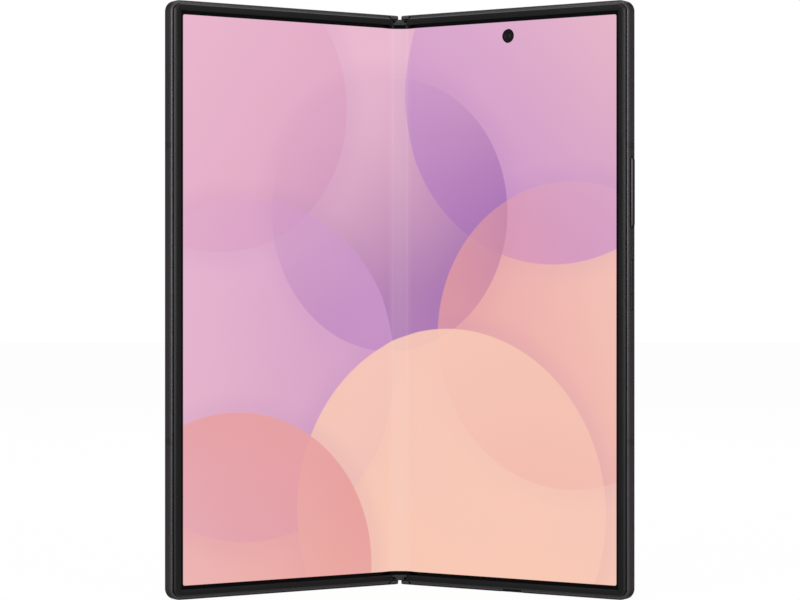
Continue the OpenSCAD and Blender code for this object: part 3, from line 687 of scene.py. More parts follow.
def screen_sheet(side):
    """One side of the folding screen, drawn flat, cut to shape, then laid at its rest bend."""
    name = "screen_right" if side == RIGHT else "screen_left"
    fine = int(round(FOLD_REACH / (0.2 * MM)))
    columns = [i * FOLD_REACH / fine for i in range(fine + 1)]
    columns += [NOTCH_X, 20 * MM, 34 * MM, 50 * MM, HALF_W - SCREEN_EDGE]
    low, high = SCREEN_EDGE, BODY_H - SCREEN_EDGE
    rows = [low, NOTCH_Z] + [BODY_H * i / 10 for i in range(1, 10)] + [BODY_H - NOTCH_Z, high]
    clear_selection()
    bpy.ops.mesh.primitive_grid_add(
        x_subdivisions=len(columns) - 1, y_subdivisions=len(rows) - 1, size=2
    )
    piece = start_piece(name)
    wide, tall = len(columns), len(rows)
    for v in piece.data.vertices:
        i = int(round((v.co.x + 1) / 2 * (wide - 1)))
        k = int(round((v.co.y + 1) / 2 * (tall - 1)))
        v.co = (columns[i], SCREEN_FRONT, rows[k])
    bpy.ops.object.mode_set(mode="EDIT")
    pick(lambda f: f.calc_center_median().x < NOTCH_X
         and not NOTCH_Z < f.calc_center_median().z < BODY_H - NOTCH_Z)
    bpy.ops.mesh.delete(type="FACE")
    # outer corners
    pick(lambda v: v.co.x > HALF_W - SCREEN_EDGE - 1e-6
         and (abs(v.co.z - low) < 1e-7 or abs(v.co.z - high) < 1e-7), "VERT")
    bpy.ops.mesh.bevel(offset=1 * MM, segments=5, affect="VERTICES")
    bpy.ops.mesh.select_all(action="SELECT")
    bpy.ops.mesh.extrude_region_move(
        TRANSFORM_OT_translate={"value": (0, SCREEN_BACK - SCREEN_FRONT, 0)}
    )
    bpy.ops.object.mode_set(mode="OBJECT")
    if side == RIGHT:
        plug = turned("punch", [(0, -2), (PUNCH_R / MM, -2), (PUNCH_R / MM, 3), (0, 3)], 40,
                      (PUNCH_X, 0, PUNCH_Z))
        settle(plug)
        settle(piece)
        cut_with(piece, plug)
    settle(piece)
    layer = piece.data.uv_layers.get("picture") or piece.data.uv_layers.new(name="picture")
    for loop in piece.data.loops:
        co = piece.data.vertices[loop.vertex_index].co
        layer.data[loop.index].uv = (
            0.5 + side * co.x / (2 * HALF_W), co.z / BODY_H)
    layer.active = True
    for v in piece.data.vertices:
        x, y = bend_to_rest(v.co.x, v.co.y)
        v.co.x, v.co.y = side * x, y
    clear_selection()
    bpy.context.view_layer.objects.active = piece
    piece.select_set(True)
    bpy.ops.object.mode_set(mode="EDIT")
    bpy.ops.mesh.select_all(action="SELECT")
    bpy.ops.mesh.normals_make_consistent(inside=False)
    bpy.ops.object.mode_set(mode="OBJECT")
    bpy.ops.object.shade_smooth_by_angle(angle=math.radians(32))
    return piece


class PHONE_OT_inner_screen(bpy.types.Operator):
    """Make the folding screen in two sheets that bend at the spine"""

    bl_idname = "phone.inner_screen"
    bl_label = "Inner screen"

    def execute(self, context):
        glow = screen_picture(context.scene.phone_screen)
        for side, body, slot, nodes in (
            (RIGHT, "right_half", "screen_right", ("display_right", "display_fold")),
            (LEFT, "left_half", "screen_left", ("display_left",)),
        ):
            sheet = screen_sheet(side)
            dress(sheet, None, slot, glow, replaces=nodes)
            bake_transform(sheet)
        return {"FINISHED"}


# ---------- rims ----------


def rim_profile(inner):
    """Closed line of (distance in from the outer face, depth), bevelled outside, round inside."""
    u0, foot = RIM_U0, 1.9 * MM
    front, back, ledge = -0.1 * MM, 0.77 * MM, 0.25 * MM
    bevel, ease_r, inner_r = RIM_BEVEL, 0.09 * MM, 0.22 * MM
    line = [(u0, back)]
    for u, y, before, after in (
        (u0, front + bevel, (0, 1), (0.71, -0.71)),
        (u0 + bevel, front, (-0.71, 0.71), (1, 0)),
    ):
        for t in (0, 0.25, 0.5, 0.75, 1):
            a, b = (1 - t) ** 2 * ease_r, t ** 2 * ease_r
            line.append((u + a * before[0] + b * after[0], y + a * before[1] + b * after[1]))
    line.append((inner - inner_r, front))
    for a in (60, 30, 0):
        line.append((inner - inner_r + inner_r * math.cos(math.radians(a)),
                     front + inner_r * (1 - math.sin(math.radians(a)))))
    line += [(inner, ledge), (foot, ledge), (foot, back)]
    return line


def rim(side, inner):
    """The rim's section, run along the lower end, round both corners and back along the upper."""
    name = "rim_right" if side == RIGHT else "rim_left"
    line = rim_profile(inner)
    clear_selection()
    bpy.ops.mesh.primitive_circle_add(vertices=len(line), radius=1, fill_type="NGON")
    piece = start_piece(name)
    for v, (u, y) in zip(piece.data.vertices, line):
        v.co = (RIM_X0, y, u)
    run = HALF_W - CORNER_R - RIM_X0
    rise = BODY_H - 2 * CORNER_R
    bpy.ops.object.mode_set(mode="EDIT")
    bpy.ops.mesh.select_all(action="SELECT")
    bpy.ops.mesh.extrude_region_move(TRANSFORM_OT_translate={"value": (run, 0, 0)})
    for centre_z, move in ((CORNER_R, (0, 0, rise)), (BODY_H - CORNER_R, (-run, 0, 0))):
        bpy.ops.mesh.spin(
            steps=10, angle=math.pi / 2, center=(HALF_W - CORNER_R, 0, centre_z), axis=(0, 1, 0)
        )
        bpy.ops.mesh.extrude_region_move(TRANSFORM_OT_translate={"value": move})
    bpy.ops.object.mode_set(mode="OBJECT")
    mark_bevel(piece)
    return settle(piece, half_matrix(side))


def mark_bevel(piece):
    """The bevelled outer edge takes the second finish."""
    for polygon in piece.data.polygons:
        x, y, z = polygon.center
        over_x = max(x - (HALF_W - CORNER_R), 0)
        over_z = max(abs(z - BODY_H / 2) - (BODY_H / 2 - CORNER_R), 0)
        far = math.hypot(over_x, over_z) if over_x and over_z else max(over_x, over_z)
        edge = CORNER_R - far
        polygon.material_index = int(edge < RIM_U0 + RIM_BEVEL and y < RIM_BEVEL - 0.08 * MM)


class PHONE_OT_rims(bpy.types.Operator):
    """Make the soft rims around both sides of the inner screen"""

    bl_idname = "phone.rims"
    bl_label = "Screen rims"

    def execute(self, context):
        body = context.scene.phone_body
        tone = tuple(body.rim_colour)
        dark, light = tuple(c * 0.8 for c in tone) + (1,), tuple(c * 1.3 for c in tone) + (1,)
        paint = grained("rim_plastic", dark, light, (0.22, 0.27), 0, 0.14, 2400, 0.002)
        bevel = grained("rim_bevel", dark, light, (0.38, 0.42), 0, 0.22, 2400, 0.002)
        for side, rides, node in (
            (RIGHT, "right_half", "right_rim"),
            (LEFT, "left_half", "left_rim"),
        ):
            dress(rim(side, body.rim_width), rides, "rim_plastic", paint, bevel, replaces=(node,))
        return {"FINISHED"}


# ---------- keys ----------


def volume_key():
    """Rocker with slanted ends and soft edges, the rib it rocks on and its two pushers."""
    foot, face, slant = HALF_W - 1.45 * MM, HALF_W + 0.6 * MM, 0.8 * MM
    z0, z1 = VOLUME_Z - VOLUME_LEN / 2, VOLUME_Z + VOLUME_LEN / 2
    outline = ((foot, z0), (HALF_W, z0), (face, z0 + slant),
               (face, z1 - slant), (HALF_W, z1), (foot, z1))
    key = drawn("volume_key", [(x, KEY_Y0, z) for x, z in outline], (0, KEY_Y1 - KEY_Y0, 0))
    soften(key, 0.1 * MM, 4, lambda p: p.x > HALF_W - 0.02 * MM, sharp=30)
    rib = turned("rib", [(0, 1.27), (0.24, 1.27), (0.24, 3.2), (0, 3.2)], 16,
                 (HALF_W - 1.55 * MM, 0, VOLUME_Z))
    pusher = turned("pusher", [(0, -0.3), (0.32, -0.3), (0.4, -0.22), (0.4, 0.1), (0, 0.1)], 20,
                    (HALF_W - 1.5 * MM, 2.3 * MM, VOLUME_Z - SWITCH_STEP), axis="X")
    other = copy_piece(pusher, "pusher_upper", (0, 0, 2 * SWITCH_STEP))
    return join([key, rib, pusher, other], "volume_key")


def power_key():
    """Flat key with soft edges, a touch reader set in its face, and a flange that keeps it in."""
    foot, face = HALF_W - 1.4 * MM, HALF_W + 0.25 * MM
    z0, z1 = POWER_Z - POWER_LEN / 2, POWER_Z + POWER_LEN / 2
    key = drawn("power_key", [(x, KEY_Y0, z) for x, z in
                              ((foot, z0), (face, z0), (face, z1), (foot, z1))],
                (0, KEY_Y1 - KEY_Y0, 0))
    soften(key, 0.16 * MM, 3, lambda p: p.x > face - 0.02 * MM)
    bpy.ops.object.mode_set(mode="EDIT")
    pick(lambda f: f.normal.x > 0.99 and f.calc_center_median().x > face - 0.01 * MM)
    bpy.ops.mesh.inset(thickness=0.12 * MM, depth=0)
    bpy.ops.mesh.inset(thickness=0.05 * MM, depth=-0.05 * MM)
    bpy.ops.object.mode_set(mode="OBJECT")
    for polygon in key.data.polygons:
        polygon.material_index = int(
            abs(polygon.center.x - face + 0.05 * MM) < 0.002 * MM and abs(polygon.normal.x) > 0.99)
    flange = drawn("flange", [(x, 1.27 * MM, z) for x, z in (
        (HALF_W - 1.7 * MM, z0 + MM), (foot + 0.05 * MM, z0 + MM),
        (foot + 0.05 * MM, z1 - MM), (HALF_W - 1.7 * MM, z1 - MM))], (0, 1.93 * MM, 0))
    return join([key, flange], "power_key")


class PHONE_OT_keys(bpy.types.Operator):
    """Make the volume rocker and the power key with its touch reader"""

    bl_idname = "phone.keys"
    bl_label = "Keys"

    def execute(self, context):
        # painted shade: the keys take a darker copy of the frame's metal so that their faces look dimmer
        metal = frame_metal("key_metal",
                            tuple(c * KEY_PAINTED_SHADE for c in context.scene.phone_body.frame_colour))
        reader = grained("reader_glass", srgb(26, 25, 27), srgb(33, 31, 34), (0.16, 0.24),
                         0.0, 0.4, 1500, 0.0005)
        dress(settle(volume_key(), half_matrix(RIGHT)), "volume_rocker", "frame_graphite", metal,
              replaces=("volume_key",))
        dress(settle(power_key(), half_matrix(RIGHT)), "power_key", "frame_graphite", metal,
              reader, replaces=("side_key",))
        return {"FINISHED"}


# ---------- spine and end caps ----------


def spine_outline(radius, edge, z):
    """Two arcs about the fold axes, joined by the flat back and open at the given depth."""
    start = math.degrees(math.asin((edge - AXIS_Y) / radius))
    points = (arc(AXIS_X, AXIS_Y, radius, start, 90, 20)
              + arc(-AXIS_X, AXIS_Y, radius, 90, 180 - start, 20))
    return [(x, y + SHIFT_Y, z) for x, y in points]


def spine_cover():
    """Thin bent cover of the hinge with closed ends, its end edges softened."""
    tall = BODY_H - 2 * SPINE_Z0
    cover = drawn("spine_cover", spine_outline(2.65 * MM, 1.52 * MM, SPINE_Z0), (0, 0, tall))
    soften(cover, 0.2 * MM, 4, lambda p: p.y - SHIFT_Y > 1.6 * MM
           and min(p.z - SPINE_Z0, BODY_H - SPINE_Z0 - p.z) < 1e-6)
    room = drawn("room", spine_outline(2.4 * MM, 1.2 * MM, SPINE_Z0 + 0.25 * MM),
                 (0, 0, tall - 0.5 * MM))
    return cut_with(settle(cover), settle(room))


def end_cap(name, upper):
    """T-shaped cap in the gap between the halves, with a raised pad in the middle."""
    mm = 1000
    wide, narrow, r = 2.1, 1.15, 0.22
    right = ([(narrow - 0.15, 1.2), (narrow, 1.35), (narrow, 1.88), (narrow + 0.12, 2)]
             + arc(wide - r, 2 + r, r, -90, 0, 5) + arc(wide - r, 2.76 - r, r, 0, 90, 5))
    outline = right + [(-x, z) for x, z in reversed(right)]
    cap = drawn(name, [(x / mm, SHIFT_Y + 0.35 * MM, z / mm) for x, z in outline],
                (0, 0.6 * MM, 0))
    soften(cap, 0.13 * MM, 4, lambda p: p.y - SHIFT_Y < 0.36 * MM)
    pad = drawn("pad", [(x / mm, SHIFT_Y + 0.23 * MM, z / mm)
                        for x, z in rounded(-0.75, 0.75, 1.5, 2.4, 0.3, 6)], (0, 0.22 * MM, 0))
    soften(pad, 0.08 * MM, 3, lambda p: p.y - SHIFT_Y < 0.24 * MM)
    cap = join([cap, pad], name)
    flip = Matrix.Translation((0, 0, BODY_H)) @ Matrix.Scale(-1, 4, (0, 0, 1))
    return settle(cap, flip if upper else None)


class PHONE_OT_spine(bpy.types.Operator):
    """Make the spine cover and the two end caps of the hinge"""

    bl_idname = "phone.spine"
    bl_label = "Spine and end caps"

    def execute(self, context):
        body = context.scene.phone_body
        metal = frame_metal("spine_metal", body.frame_colour)
        dress(settle(spine_cover()), "spine", "frame_graphite", metal, replaces=("spine_cover",))
        dark = grained("cap_plastic", srgb(24, 23, 25), srgb(34, 32, 35), (0.45, 0.58), 0, 0.3,
                       2600, 0.003)
        for name, upper in (("hinge_cap_lower", False), ("hinge_cap_upper", True)):
            node = "hinge_end_cap_top" if upper else "hinge_end_cap_bottom"
            dress(end_cap(name, upper), "spine", "cap_dark", dark, replaces=(node,))
        return {"FINISHED"}


# ---------- outer glass ----------


def outer_glass(name, soft):
    """Glass plate of one half's outside: large outer corners, edge rounded towards the frame."""
    edge, r = 0.6 * MM, 2.4 * MM
    return outline_plate(name, 4.55 * MM, HALF_W - edge, edge, BODY_H - edge, 3.6 * MM, BODY_T,
                         (0, r, r, 0), soft, 5, 10)


def island_plate(name, inset, y0, y1, soft=0.0):
    """Rounded square around the middle of the camera island, set in from its outline."""
    s, r = ISLAND_S / 2 - inset, ISLAND_R - inset
    return outline_plate(name, ISLAND_X - s, ISLAND_X + s, ISLAND_Z - s, ISLAND_Z + s, y0, y1,
                         (r, r, r, r), soft, 6, 14)


def etched_glass(name, tint):
    """Etched glass: silky, with a very fine sparkle and a slow cloud in its gloss."""
    g = Graph(name, specular=0.42)
    grit = g.noise(5200, 3, 0.6)
    cloud = g.noise(22, 2, 0.5)
    deep = tuple(c * 0.88 for c in tint[:3]) + (1,)
    pale = tuple(min(1, c * 1.14) for c in tint[:3]) + (1,)
    g.colour(g.mix(g.between(grit, 0.35, 0.65), deep, pale))
    g.rough(g.between(cloud, 0.3, 0.7, 0.36, 0.44))
    g.bump(grit, 0.0012)
    return g.material


def cover_panel(name):
    """Dark outer screen, off: panel a shade bluer than its border, lens of the camera inside with a painted
    reflection and a painted highlight ring.
    """
    g = Graph(name, specular=0.5)
    uv = g.node("ShaderNodeUVMap", uv_map="plate")
    middle = (40.25 * MM, BODY_H / 2, 0)
    half_w, half_h, corner = 29.05 * MM, 76.2 * MM, 1.5 * MM
    spread = g.vector("ABSOLUTE", g.vector("SUBTRACT", uv.outputs[0], middle))
    straight = (half_w - corner, half_h - corner, 0)
    past = g.vector("MAXIMUM", g.vector("SUBTRACT", spread, straight), (0, 0, 0))
    lit = g.between(g.math("SUBTRACT", g.vector("LENGTH", past), corner), -0.0001, 0.0001, 1, 0)
    panel = g.mix(lit, srgb(5, 5, 6), srgb(11, 11, 15))
    away = g.vector("DISTANCE", uv.outputs[0], (COVER_CAMERA[0], COVER_CAMERA[1], 0))
    spot = g.between(away, 1.85 * MM, 1.95 * MM, 1, 0)
    # painted reflection: purple coating glints in the lens's middle; the pale ring round it is a painted highlight
    lens = g.mix(g.between(away, 0.2 * MM, 0.85 * MM), srgb(38, 30, 58), srgb(8, 8, 12))
    lens = g.mix(g.between(away, 0.9 * MM, 1.0 * MM), lens, srgb(30, 30, 33))
    lens = g.mix(g.between(away, 1.1 * MM, 1.2 * MM), lens, srgb(3, 3, 3))
    g.colour(g.mix(spot, panel, lens))
    g.rough(g.between(g.noise(30), 0.3, 0.7, 0.05, 0.1))
    return g.material


class PHONE_OT_outer_glass(bpy.types.Operator):
    """Make the etched rear glass and the dark cover glass"""

    bl_idname = "phone.outer_glass"
    bl_label = "Outer glass"

    def execute(self, context):
        body = context.scene.phone_body
        rear = outer_glass("rear_glass", body.glass_soft)
        hole = island_plate("hole", 0.1 * MM, 3 * MM, 5 * MM)
        rear = settle(cut_with(settle(rear), settle(hole)), half_matrix(RIGHT))
        dress(rear, "right_half", "rear_glass_dark",
              etched_glass("rear_glass", body.glass_colour), replaces=("rear_glass",))
        cover = settle(outer_glass("cover_glass", body.glass_soft))
        map_plane(cover, "plate", lambda co: (co.x, co.z))
        cover = settle(cover, half_matrix(LEFT))
        dress(cover, "left_half", "cover_glass_black", cover_panel("cover_glass"),
              replaces=("cover_glass",))
        return {"FINISHED"}


# ---------- cameras ----------


def camera_island():
    """Raised block with a soft edge, hollow behind, drilled for three lenses and the flash."""
    block = settle(island_plate("camera_island", 0.2 * MM, 3.05 * MM, 5.6 * MM, 0.5 * MM))
    block = cut_with(block, settle(island_plate("pocket", 1.4 * MM, 2.05 * MM, 4.6 * MM)))
    for kx, kz, r in [(kx, kz, 4.7) for kx, kz in LENSES] + [FLASH + (2.0,)]:
        drill = turned("drill", [(0, 1), (r, 1), (r, 9), (0, 9)], 56,
                       (ISLAND_X + kx * LENS_STEP, 0, ISLAND_Z + kz * LENS_STEP))
        block = cut_with(block, settle(drill))
    return settle(block, half_matrix(RIGHT))


RING_LINE = (
    (4.1, 4.7), (4.68, 4.7), (4.68, 5.6), (5.4, 5.6), (5.48, 5.66), (5.5, 5.75), (5.5, 5.9),
    (5.47, 6.0), (5.38, 6.07), (5.25, 6.1), (4.95, 6.1), (4.85, 6.08), (4.5, 5.93), (4.42, 5.88),
    (4.4, 5.8), (4.4, 5.3), (4.1, 5.3),
)
WINDOW_LINE = (
    (0, 5.3), (4.36, 5.3), (4.36, 5.82), (4.28, 5.88), (4.1, 5.9), (3.25, 5.9), (3.15, 5.86),
    (2.95, 5.62), (2.62, 5.6), (2.55, 5.56), (2.4, 5.44), (2.2, 5.42), (2.05, 5.46), (1.7, 5.57),
    (1.3, 5.65), (0.8, 5.71), (0.4, 5.735), (0, 5.74),
)
FLASH_LINE = (
    (0, 4.6), (1.96, 4.6), (1.96, 5.55), (1.88, 5.63), (1.7, 5.65), (1.62, 5.55), (1.42, 5.6),
    (1.36, 5.5), (1.12, 5.57), (1.06, 5.47), (0.8, 5.56), (0.74, 5.46), (0.45, 5.55), (0, 5.58),
)
INNER_LINE = (
    (0, 3.2), (2.18, 3.2), (2.18, 0.9), (1.85, 0.9), (1.85, 0.54), (1.8, 0.5), (1.3, 0.5),
    (1.24, 0.54), (1.02, 0.86), (0.86, 0.88), (0.7, 0.8), (0.45, 0.72), (0.2, 0.68), (0, 0.67),
)


def lens_finish(name, reach):
    """Black print, baffle steps with painted light and shade, and a coated lens with painted reflections, by the
    distance from the lens's middle.
    """
    g = Graph(name, roughness=0.05, specular=0.6)
    uv = g.node("ShaderNodeUVMap", uv_map="lens")
    away = g.math("MULTIPLY", g.vector("LENGTH", uv.outputs[0]), reach)
    # painted reflection: purple coating glints in the middle, teal towards the edge
    glass = g.mix(g.between(away, 0.1, 1.3), srgb(70, 44, 96), srgb(24, 44, 62))
    glass = g.mix(g.between(away, 1.2, 2.1), glass, srgb(8, 9, 12))
    # painted light and shade: the baffle's black steps drawn as lighter and darker rings
    ridges = g.math("SINE", g.math("MULTIPLY", away, 42))
    painted_baffle_rings = g.mix(g.between(ridges, -0.6, 0.6), srgb(9, 9, 10), srgb(24, 24, 26))
    ring = g.mix(g.between(away, 2.1, 2.25), glass, painted_baffle_rings)
    g.colour(g.mix(g.between(away, 2.95, 3.05), ring, srgb(5, 5, 6)))
    return g.material


def inner_lens_finish(name):
    g = Graph(name, roughness=0.3, specular=0.05)
    uv = g.node("ShaderNodeUVMap", uv_map="lens")
    away = g.math("MULTIPLY", g.vector("LENGTH", uv.outputs[0]), INNER_R)
    # painted reflection: a faint purplish glint in the lens's middle
    glass = g.mix(g.between(away, 0.0, 0.7), srgb(24, 22, 28), srgb(20, 20, 22))
    glass = g.mix(g.between(away, 0.8, 0.9), glass, srgb(22, 20, 23))
    g.colour(g.mix(g.between(away, 1.3, 1.6), glass, srgb(3, 3, 4)))
    return g.material


def flash_finish(name):
    g = Graph(name, roughness=0.22, specular=0.6)
    uv = g.node("ShaderNodeUVMap", uv_map="lens")
    away = g.math("MULTIPLY", g.vector("LENGTH", uv.outputs[0]), FLASH_R)
    ridges = g.math("SINE", g.math("MULTIPLY", away, 20))
    pale = g.mix(g.between(ridges, -1, 1), srgb(206, 200, 172), srgb(238, 234, 214))
    g.colour(g.mix(g.between(away, 0.3, 0.75), srgb(240, 214, 120), pale))
    return g.material


def round_glass(name, line, reach, kx, kz, steps):
    """A turned lens with a UV map that runs from its middle to its rim."""
    piece = turned(name, line, steps)
    map_plane(piece, "lens", lambda co: (co.x / (reach * MM), co.z / (reach * MM)))
    piece.data.transform(Matrix.Translation((kx, 0, kz)))
    return settle(piece, half_matrix(RIGHT))


class PHONE_OT_cameras(bpy.types.Operator):
    """Make the camera island with its rings, lens windows and flash, and the inner camera"""

    bl_idname = "phone.cameras"
    bl_label = "Cameras"

    def execute(self, context):
        body = context.scene.phone_body
        metal = frame_metal("island_metal", body.frame_colour)
        dress(camera_island(), "right_half", "frame_graphite", metal, replaces=("camera_island",))
        ring_metal = brushed_metal("ring_metal", srgb(92, 90, 94), srgb(134, 132, 136),
                                   (0.2, 0.3), (300, 300, 300))
        window = lens_finish("lens_window", WINDOW_R)
        for i, (kx, kz) in enumerate(LENSES):
            x, z = ISLAND_X + kx * LENS_STEP, ISLAND_Z + kz * LENS_STEP
            ring = settle(turned(f"lens_ring_{i + 1}", RING_LINE, 72, (x, 0, z)),
                          half_matrix(RIGHT))
            glass = round_glass(f"lens_window_{i + 1}", WINDOW_LINE, WINDOW_R, x, z, 64)
            dress(ring, "right_half", "lens_metal", ring_metal, replaces=("lens_rings",))
            dress(glass, "right_half", "lens_glass", window, replaces=("lens_windows",))
        x, z = ISLAND_X + FLASH[0] * LENS_STEP, ISLAND_Z + FLASH[1] * LENS_STEP
        dress(round_glass("flash_window", FLASH_LINE, FLASH_R, x, z, 40), "right_half",
              "flash_lens", flash_finish("flash_lens"), replaces=("flash_window",))
        dress(round_glass("inner_camera", INNER_LINE, INNER_R, PUNCH_X, PUNCH_Z, 48),
              "right_half", "camera_black", inner_lens_finish("inner_lens"),
              replaces=("inner_camera",))
        return {"FINISHED"}


# ---------- openings in the edges ----------


def stadium(x, y, w, h, z, steps=10):
    """Points of a slot outline with round ends, at height z."""
    flat = (w - h) / 2
    line = arc(x + flat, y, h / 2, -90, 90, steps) + arc(x - flat, y, h / 2, 90, 270, steps)
    return [(px, py, z) for px, py in line]


def socket_shell():
    """Drawn tube of the charging socket, taped black outside."""
    x, y = SOCKET_X, EDGE_Y
    inner_w, inner_t = SOCKET_W - 2 * SOCKET_WALL, SOCKET_T - 2 * SOCKET_WALL
    straight, mid_wall = (SOCKET_W - SOCKET_T) / 2, (SOCKET_T - SOCKET_WALL) / 2
    shell = drawn("charging_socket", stadium(x, y, SOCKET_W, SOCKET_T, 0.15 * MM),
                  (0, 0, 7.2 * MM))
    room = drawn("room", stadium(x, y, inner_w, inner_t, -1 * MM), (0, 0, 7.85 * MM))
    shell = cut_with(settle(shell), settle(room))
    for polygon in shell.data.polygons:
        across = max(abs(polygon.center.x - x) - straight, 0)
        polygon.material_index = int(math.hypot(across, polygon.center.y - y) > mid_wall)
    return shell


def socket_tongue():
    """Contact tongue with a blunt nose."""
    x, y = SOCKET_X, EDGE_Y
    tongue = drawn("socket_tongue", [(x + px, y + py, 1.2 * MM) for px, py in (
        (-3.3 * MM, -0.35 * MM), (3.3 * MM, -0.35 * MM), (3.3 * MM, 0.35 * MM),
        (-3.3 * MM, 0.35 * MM))], (0, 0, 5.83 * MM))
    return soften(tongue, 0.14 * MM, 3, lambda p: p.z < 1.3 * MM)


def socket_contacts():
    """Gilt contacts on both faces of the tongue, one drawn and the rest copied."""
    first = drawn("socket_contacts", [
        (SOCKET_X - 2.75 * MM + px * MM, EDGE_Y - 0.35 * MM, 1.7 * MM + pz * MM)
        for px, pz in rounded(-0.12, 0.12, 0, 3.4, 0.06, 3)], (0, -0.03 * MM, 0))
    pads = [first]
    for row in (0, 1):
        for i in range(12):
            if row or i:
                pads.append(copy_piece(first, "pad", (i * 0.5 * MM, row * 0.73 * MM, 0)))
    return join(pads, "socket_contacts")


def fine_mesh(name):
    """Woven steel mesh: round wires in two directions, with painted shade in the holes between."""
    g = Graph(name, roughness=0.4, metallic=0.8)
    split = g.node("ShaderNodeSeparateXYZ")
    uv = g.node("ShaderNodeUVMap", uv_map="weave")
    g.link(uv.outputs[0], split.inputs[0])
    waves = [g.math("ABSOLUTE", g.math("SINE", g.math("MULTIPLY", split.outputs[i],
                                                      math.pi / (0.16 * MM)))) for i in (0, 1)]
    # painted shade: the holes are painted dark for the shade in the cavity behind them
    hole = g.math("MULTIPLY", *waves)
    g.colour(g.mix(g.between(hole, 0.35, 0.6), srgb(84, 82, 84), srgb(10, 10, 10)))
    g.bump(g.math("SUBTRACT", 1.0, hole), 0.02)
    return g.material


def card_tray():
    """Tray face with soft edges and a pin hole, and the blade that carries the card."""
    face = drawn("card_tray", [(x, y, 0.05 * MM) for x, y in (
        (TRAY_X0, 1.6 * MM), (TRAY_X1, 1.6 * MM), (TRAY_X1, 3 * MM), (TRAY_X0, 3 * MM))],
        (0, 0, 1.25 * MM))
    soften(face, 0.14 * MM, 3, lambda p: p.z < 0.06 * MM)
    pin = turned("pin", [(0, -2), (0.4, -2), (0.4, 6), (0, 6)], 24, (44.4 * MM, 2.3 * MM, 0), "Z")
    left, right, cut = TRAY_X0 + 0.6 * MM, TRAY_X1 - 0.6 * MM, 0.8 * MM
    blade = drawn("blade", [(x, 1.8 * MM, z) for x, z in (
        (left, 1 * MM), (right, 1 * MM), (right, TRAY_TIP_Z - cut), (right - cut, TRAY_TIP_Z),
        (left + cut, TRAY_TIP_Z), (left, TRAY_TIP_Z - cut))], (0, 0.8 * MM, 0))
    bed_left, bed_right = TRAY_X0 + 1.5 * MM, TRAY_X1 - 1.5 * MM
    bed = drawn("bed", [(x, 2.1 * MM, z) for x, z in (
        (bed_left, TRAY_BED_Z0), (bed_right, TRAY_BED_Z0), (bed_right, TRAY_BED_Z1),
        (bed_left, TRAY_BED_Z1))], (0, 2 * MM, 0))
    face = cut_with(settle(face), settle(pin))
    return join([face, cut_with(settle(blade), settle(bed))], "card_tray")


class PHONE_OT_openings(bpy.types.Operator):
    """Make the charging socket, the meshes of loudspeaker and earpiece, and the card tray"""

    bl_idname = "phone.openings"
    bl_label = "Socket, meshes and tray"

    def execute(self, context):
        body = context.scene.phone_body
        right, left = half_matrix(RIGHT), half_matrix(LEFT)
        steel = brushed_metal("socket_steel", srgb(126, 126, 130), srgb(168, 168, 172),
                              (0.25, 0.35), (900, 900, 60))
        black = grained("tongue_plastic", srgb(18, 18, 19), srgb(28, 28, 30), (0.4, 0.5), 0, 0.4,
                        2200, 0.002)
        tape = grained("socket_tape", srgb(5, 5, 6), srgb(9, 9, 10), (0.5, 0.6), 0, 0.1, 2200,
                       0.001)
        dress(settle(socket_shell(), right), "right_half", "plate_steel", steel, tape,
              replaces=("charging_port_shell",))
        dress(settle(socket_tongue(), right), "right_half", "module_plastic", black,
              replaces=("charging_port_tongue",))
        gilt = brushed_metal("contact_gilt", srgb(186, 150, 84), srgb(222, 188, 118),
                             (0.2, 0.3), (900, 900, 60))
        dress(settle(socket_contacts(), right), "right_half", "bronze", gilt)
        woven = fine_mesh("speaker_mesh")
        for i, x in enumerate(SPEAKER_X):
            disc = turned(f"speaker_mesh_{i + 1}", [(0, 1.0), (0.62, 1.0), (0.62, 1.1), (0, 1.1)],
                          24, (x * MM, EDGE_Y, 0), "Z")
            map_plane(disc, "weave", lambda co: (co.x, co.y))
            dress(settle(disc, right), "right_half", "module_plastic", woven)
        strip = drawn("earpiece_mesh", [(x, y, BODY_H - 1.1 * MM) for x, y in (
            (32.02 * MM, 2.02 * MM), (41.98 * MM, 2.02 * MM), (41.98 * MM, 2.78 * MM),
            (32.02 * MM, 2.78 * MM))], (0, 0, 0.1 * MM))
        soften(strip, 0.03 * MM, 1)
        map_plane(strip, "weave", lambda co: (co.x, co.y))
        dress(settle(strip, left), "left_half", "module_plastic", woven)
        metal = frame_metal("tray_metal", body.frame_colour)
        dress(settle(card_tray(), left), "tray", "frame_graphite", metal, replaces=("card_tray",))
        return {"FINISHED"}


# ---------- finishes of the pieces kept from the frame ----------


